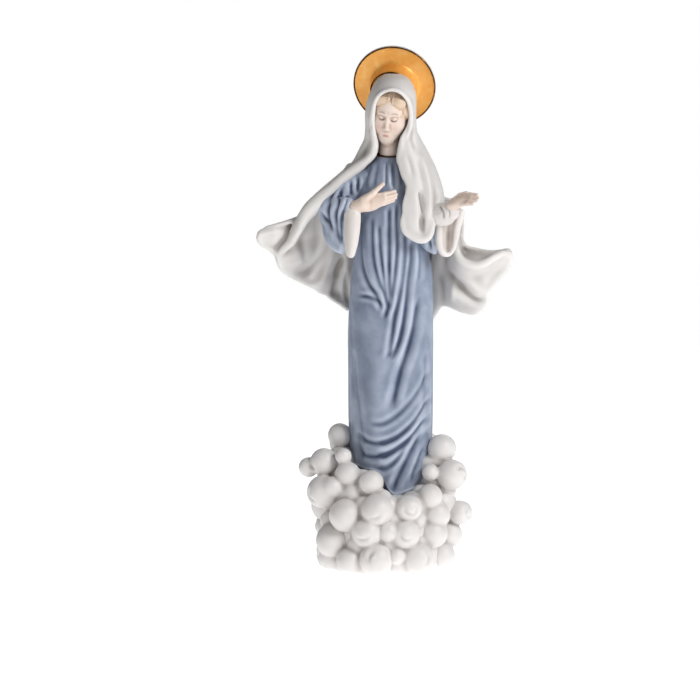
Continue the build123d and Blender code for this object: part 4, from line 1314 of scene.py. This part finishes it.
def halo():
    """A gilt plate with a collar that flares into it, and a thin white edge with a dark line."""
    plate = [
        (0.02, 1.1), (6.0, 1.1), (9.8, 1.1), (10.6, 1.6), (10.7, 4.0), (10.8, 8.0), (10.9, 11.4),
        (11.5, 12.1), (12.3, 11.8), (12.5, 8.0), (12.8, 4.6), (13.4, 2.6), (15.0, 1.7), (18.0, 1.5),
        (21.4, 1.6), (22.5, 1.7), (22.7, 1.2), (22.4, 0.2), (21.0, -0.1), (14.0, -0.5), (6.0, -0.8),
        (0.02, -0.8), (0.02, 0.1), (0.02, 1.1),
    ]
    place(make("halo", *turned(plate, 140)), GOLD, "gold_lustre", "halo_disc", "halo_collar")
    edge = [
        (22.2, 1.2), (22.7, 1.5), (23.2, 1.3), (23.5, 0.7), (23.4, 0.0), (22.8, -0.4), (22.2, -0.3),
        (22.2, 1.2),
    ]
    obj = make("halo_edge", *turned(edge, 40))
    store(obj, "hollow", np.zeros(len(obj.data.vertices)))
    place(obj, CLOUD_GLAZE, "cloud_glaze", "halo_rim")
    for name, radius, ahead, r in (("halo_line", 22.95, 1.55, 0.48), ("halo_collar_line", 11.9, 12.1, 0.42)):
        place(make(name, *hoop(round_halo(radius, ahead), r)), GILT, "gilt_line")


def neck_line():
    """A dark gold line round the neck of the robe, lower in front."""
    angle = turns(120)
    dip = -0.7 * np.cos(angle) - 0.3 * np.cos(2 * angle)
    loop = np.stack([2.0 + 6.1 * np.sin(angle), 0.4 - 6.1 * np.cos(angle), 233.6 + dip], -1)
    place(make("neck_line", *hoop(loop, 0.6)), GILT, "gilt_line", "collar_band")


halo()
neck_line()


# --- Floor, light and camera ----------------------------------------------------------------------


def floor():
    """A plain white floor, a little bright of itself so that its shadows stay pale."""
    half = 1.6
    mesh = bpy.data.meshes.new("floor")
    corners = [(-half, -half, 0), (half, -half, 0), (half, half, 0), (-half, half, 0)]
    mesh.from_pydata(corners, [], [(0, 1, 2, 3)])
    obj = bpy.data.objects.new("floor", mesh)
    bpy.context.scene.collection.objects.link(obj)
    material, _, shader = new_material("floor_white")
    shader.inputs["Base Color"].default_value = (0.85, 0.85, 0.85, 1)
    shader.inputs["Roughness"].default_value = 0.9
    shader.inputs["Emission Color"].default_value = (1, 1, 1, 1)
    shader.inputs["Emission Strength"].default_value = 0.86
    shader.inputs["Specular IOR Level"].default_value = 0.0
    mesh.materials.append(material)


def light(name, stand, aim, size, power):
    """A square lamp that stands in one place and points at another."""
    data = bpy.data.lights.new(name, "AREA")
    data.size = size
    data.energy = power
    obj = bpy.data.objects.new(name, data)
    obj.location = stand
    obj.rotation_euler = (Vector(aim) - Vector(stand)).to_track_quat("-Z", "Y").to_euler()
    bpy.context.scene.collection.objects.link(obj)


def world():
    """White to the eye, and a dimmer white as a source of light."""
    made = bpy.data.worlds.new("studio")
    made.use_nodes = True
    tree = made.node_tree
    background = tree.nodes["Background"]
    seen = node(tree, "ShaderNodeLightPath").outputs["Is Camera Ray"]
    tree.links.new(map_range(tree, seen, 0, 1, 0.16, 1.0), background.inputs["Strength"])
    background.inputs["Color"].default_value = (1, 1, 1, 1)
    bpy.context.scene.world = made


def camera():
    """A long lens in front of the figurine and a little above it; wide is what it sees at the figure."""
    distance, wide, rise = 2.4, 0.394, math.radians(4.5)
    data = bpy.data.cameras.new("camera")
    data.sensor_width = 36
    data.lens = data.sensor_width * distance / wide
    data.clip_start, data.clip_end = 0.1, 20
    obj = bpy.data.objects.new("camera", data)
    aim = Vector((-0.0197, 0, 0.124))
    back = Vector((0, -math.cos(rise), math.sin(rise)))
    obj.location = aim + back * distance
    obj.rotation_euler = (-back).to_track_quat("-Z", "Y").to_euler()
    bpy.context.scene.collection.objects.link(obj)
    bpy.context.scene.camera = obj


floor()
world()
light("key", (1.0, -0.9, 1.0), (0, 0, 0.15), 0.5, 15.0)
light("fill", (-1.1, -0.9, 0.5), (0, 0, 0.15), 0.9, 0.9)
light("rim", (0.3, 1.1, 0.9), (0, 0, 0.2), 0.6, 3.0)
camera()
bpy.context.scene.view_settings.view_transform = "Standard"
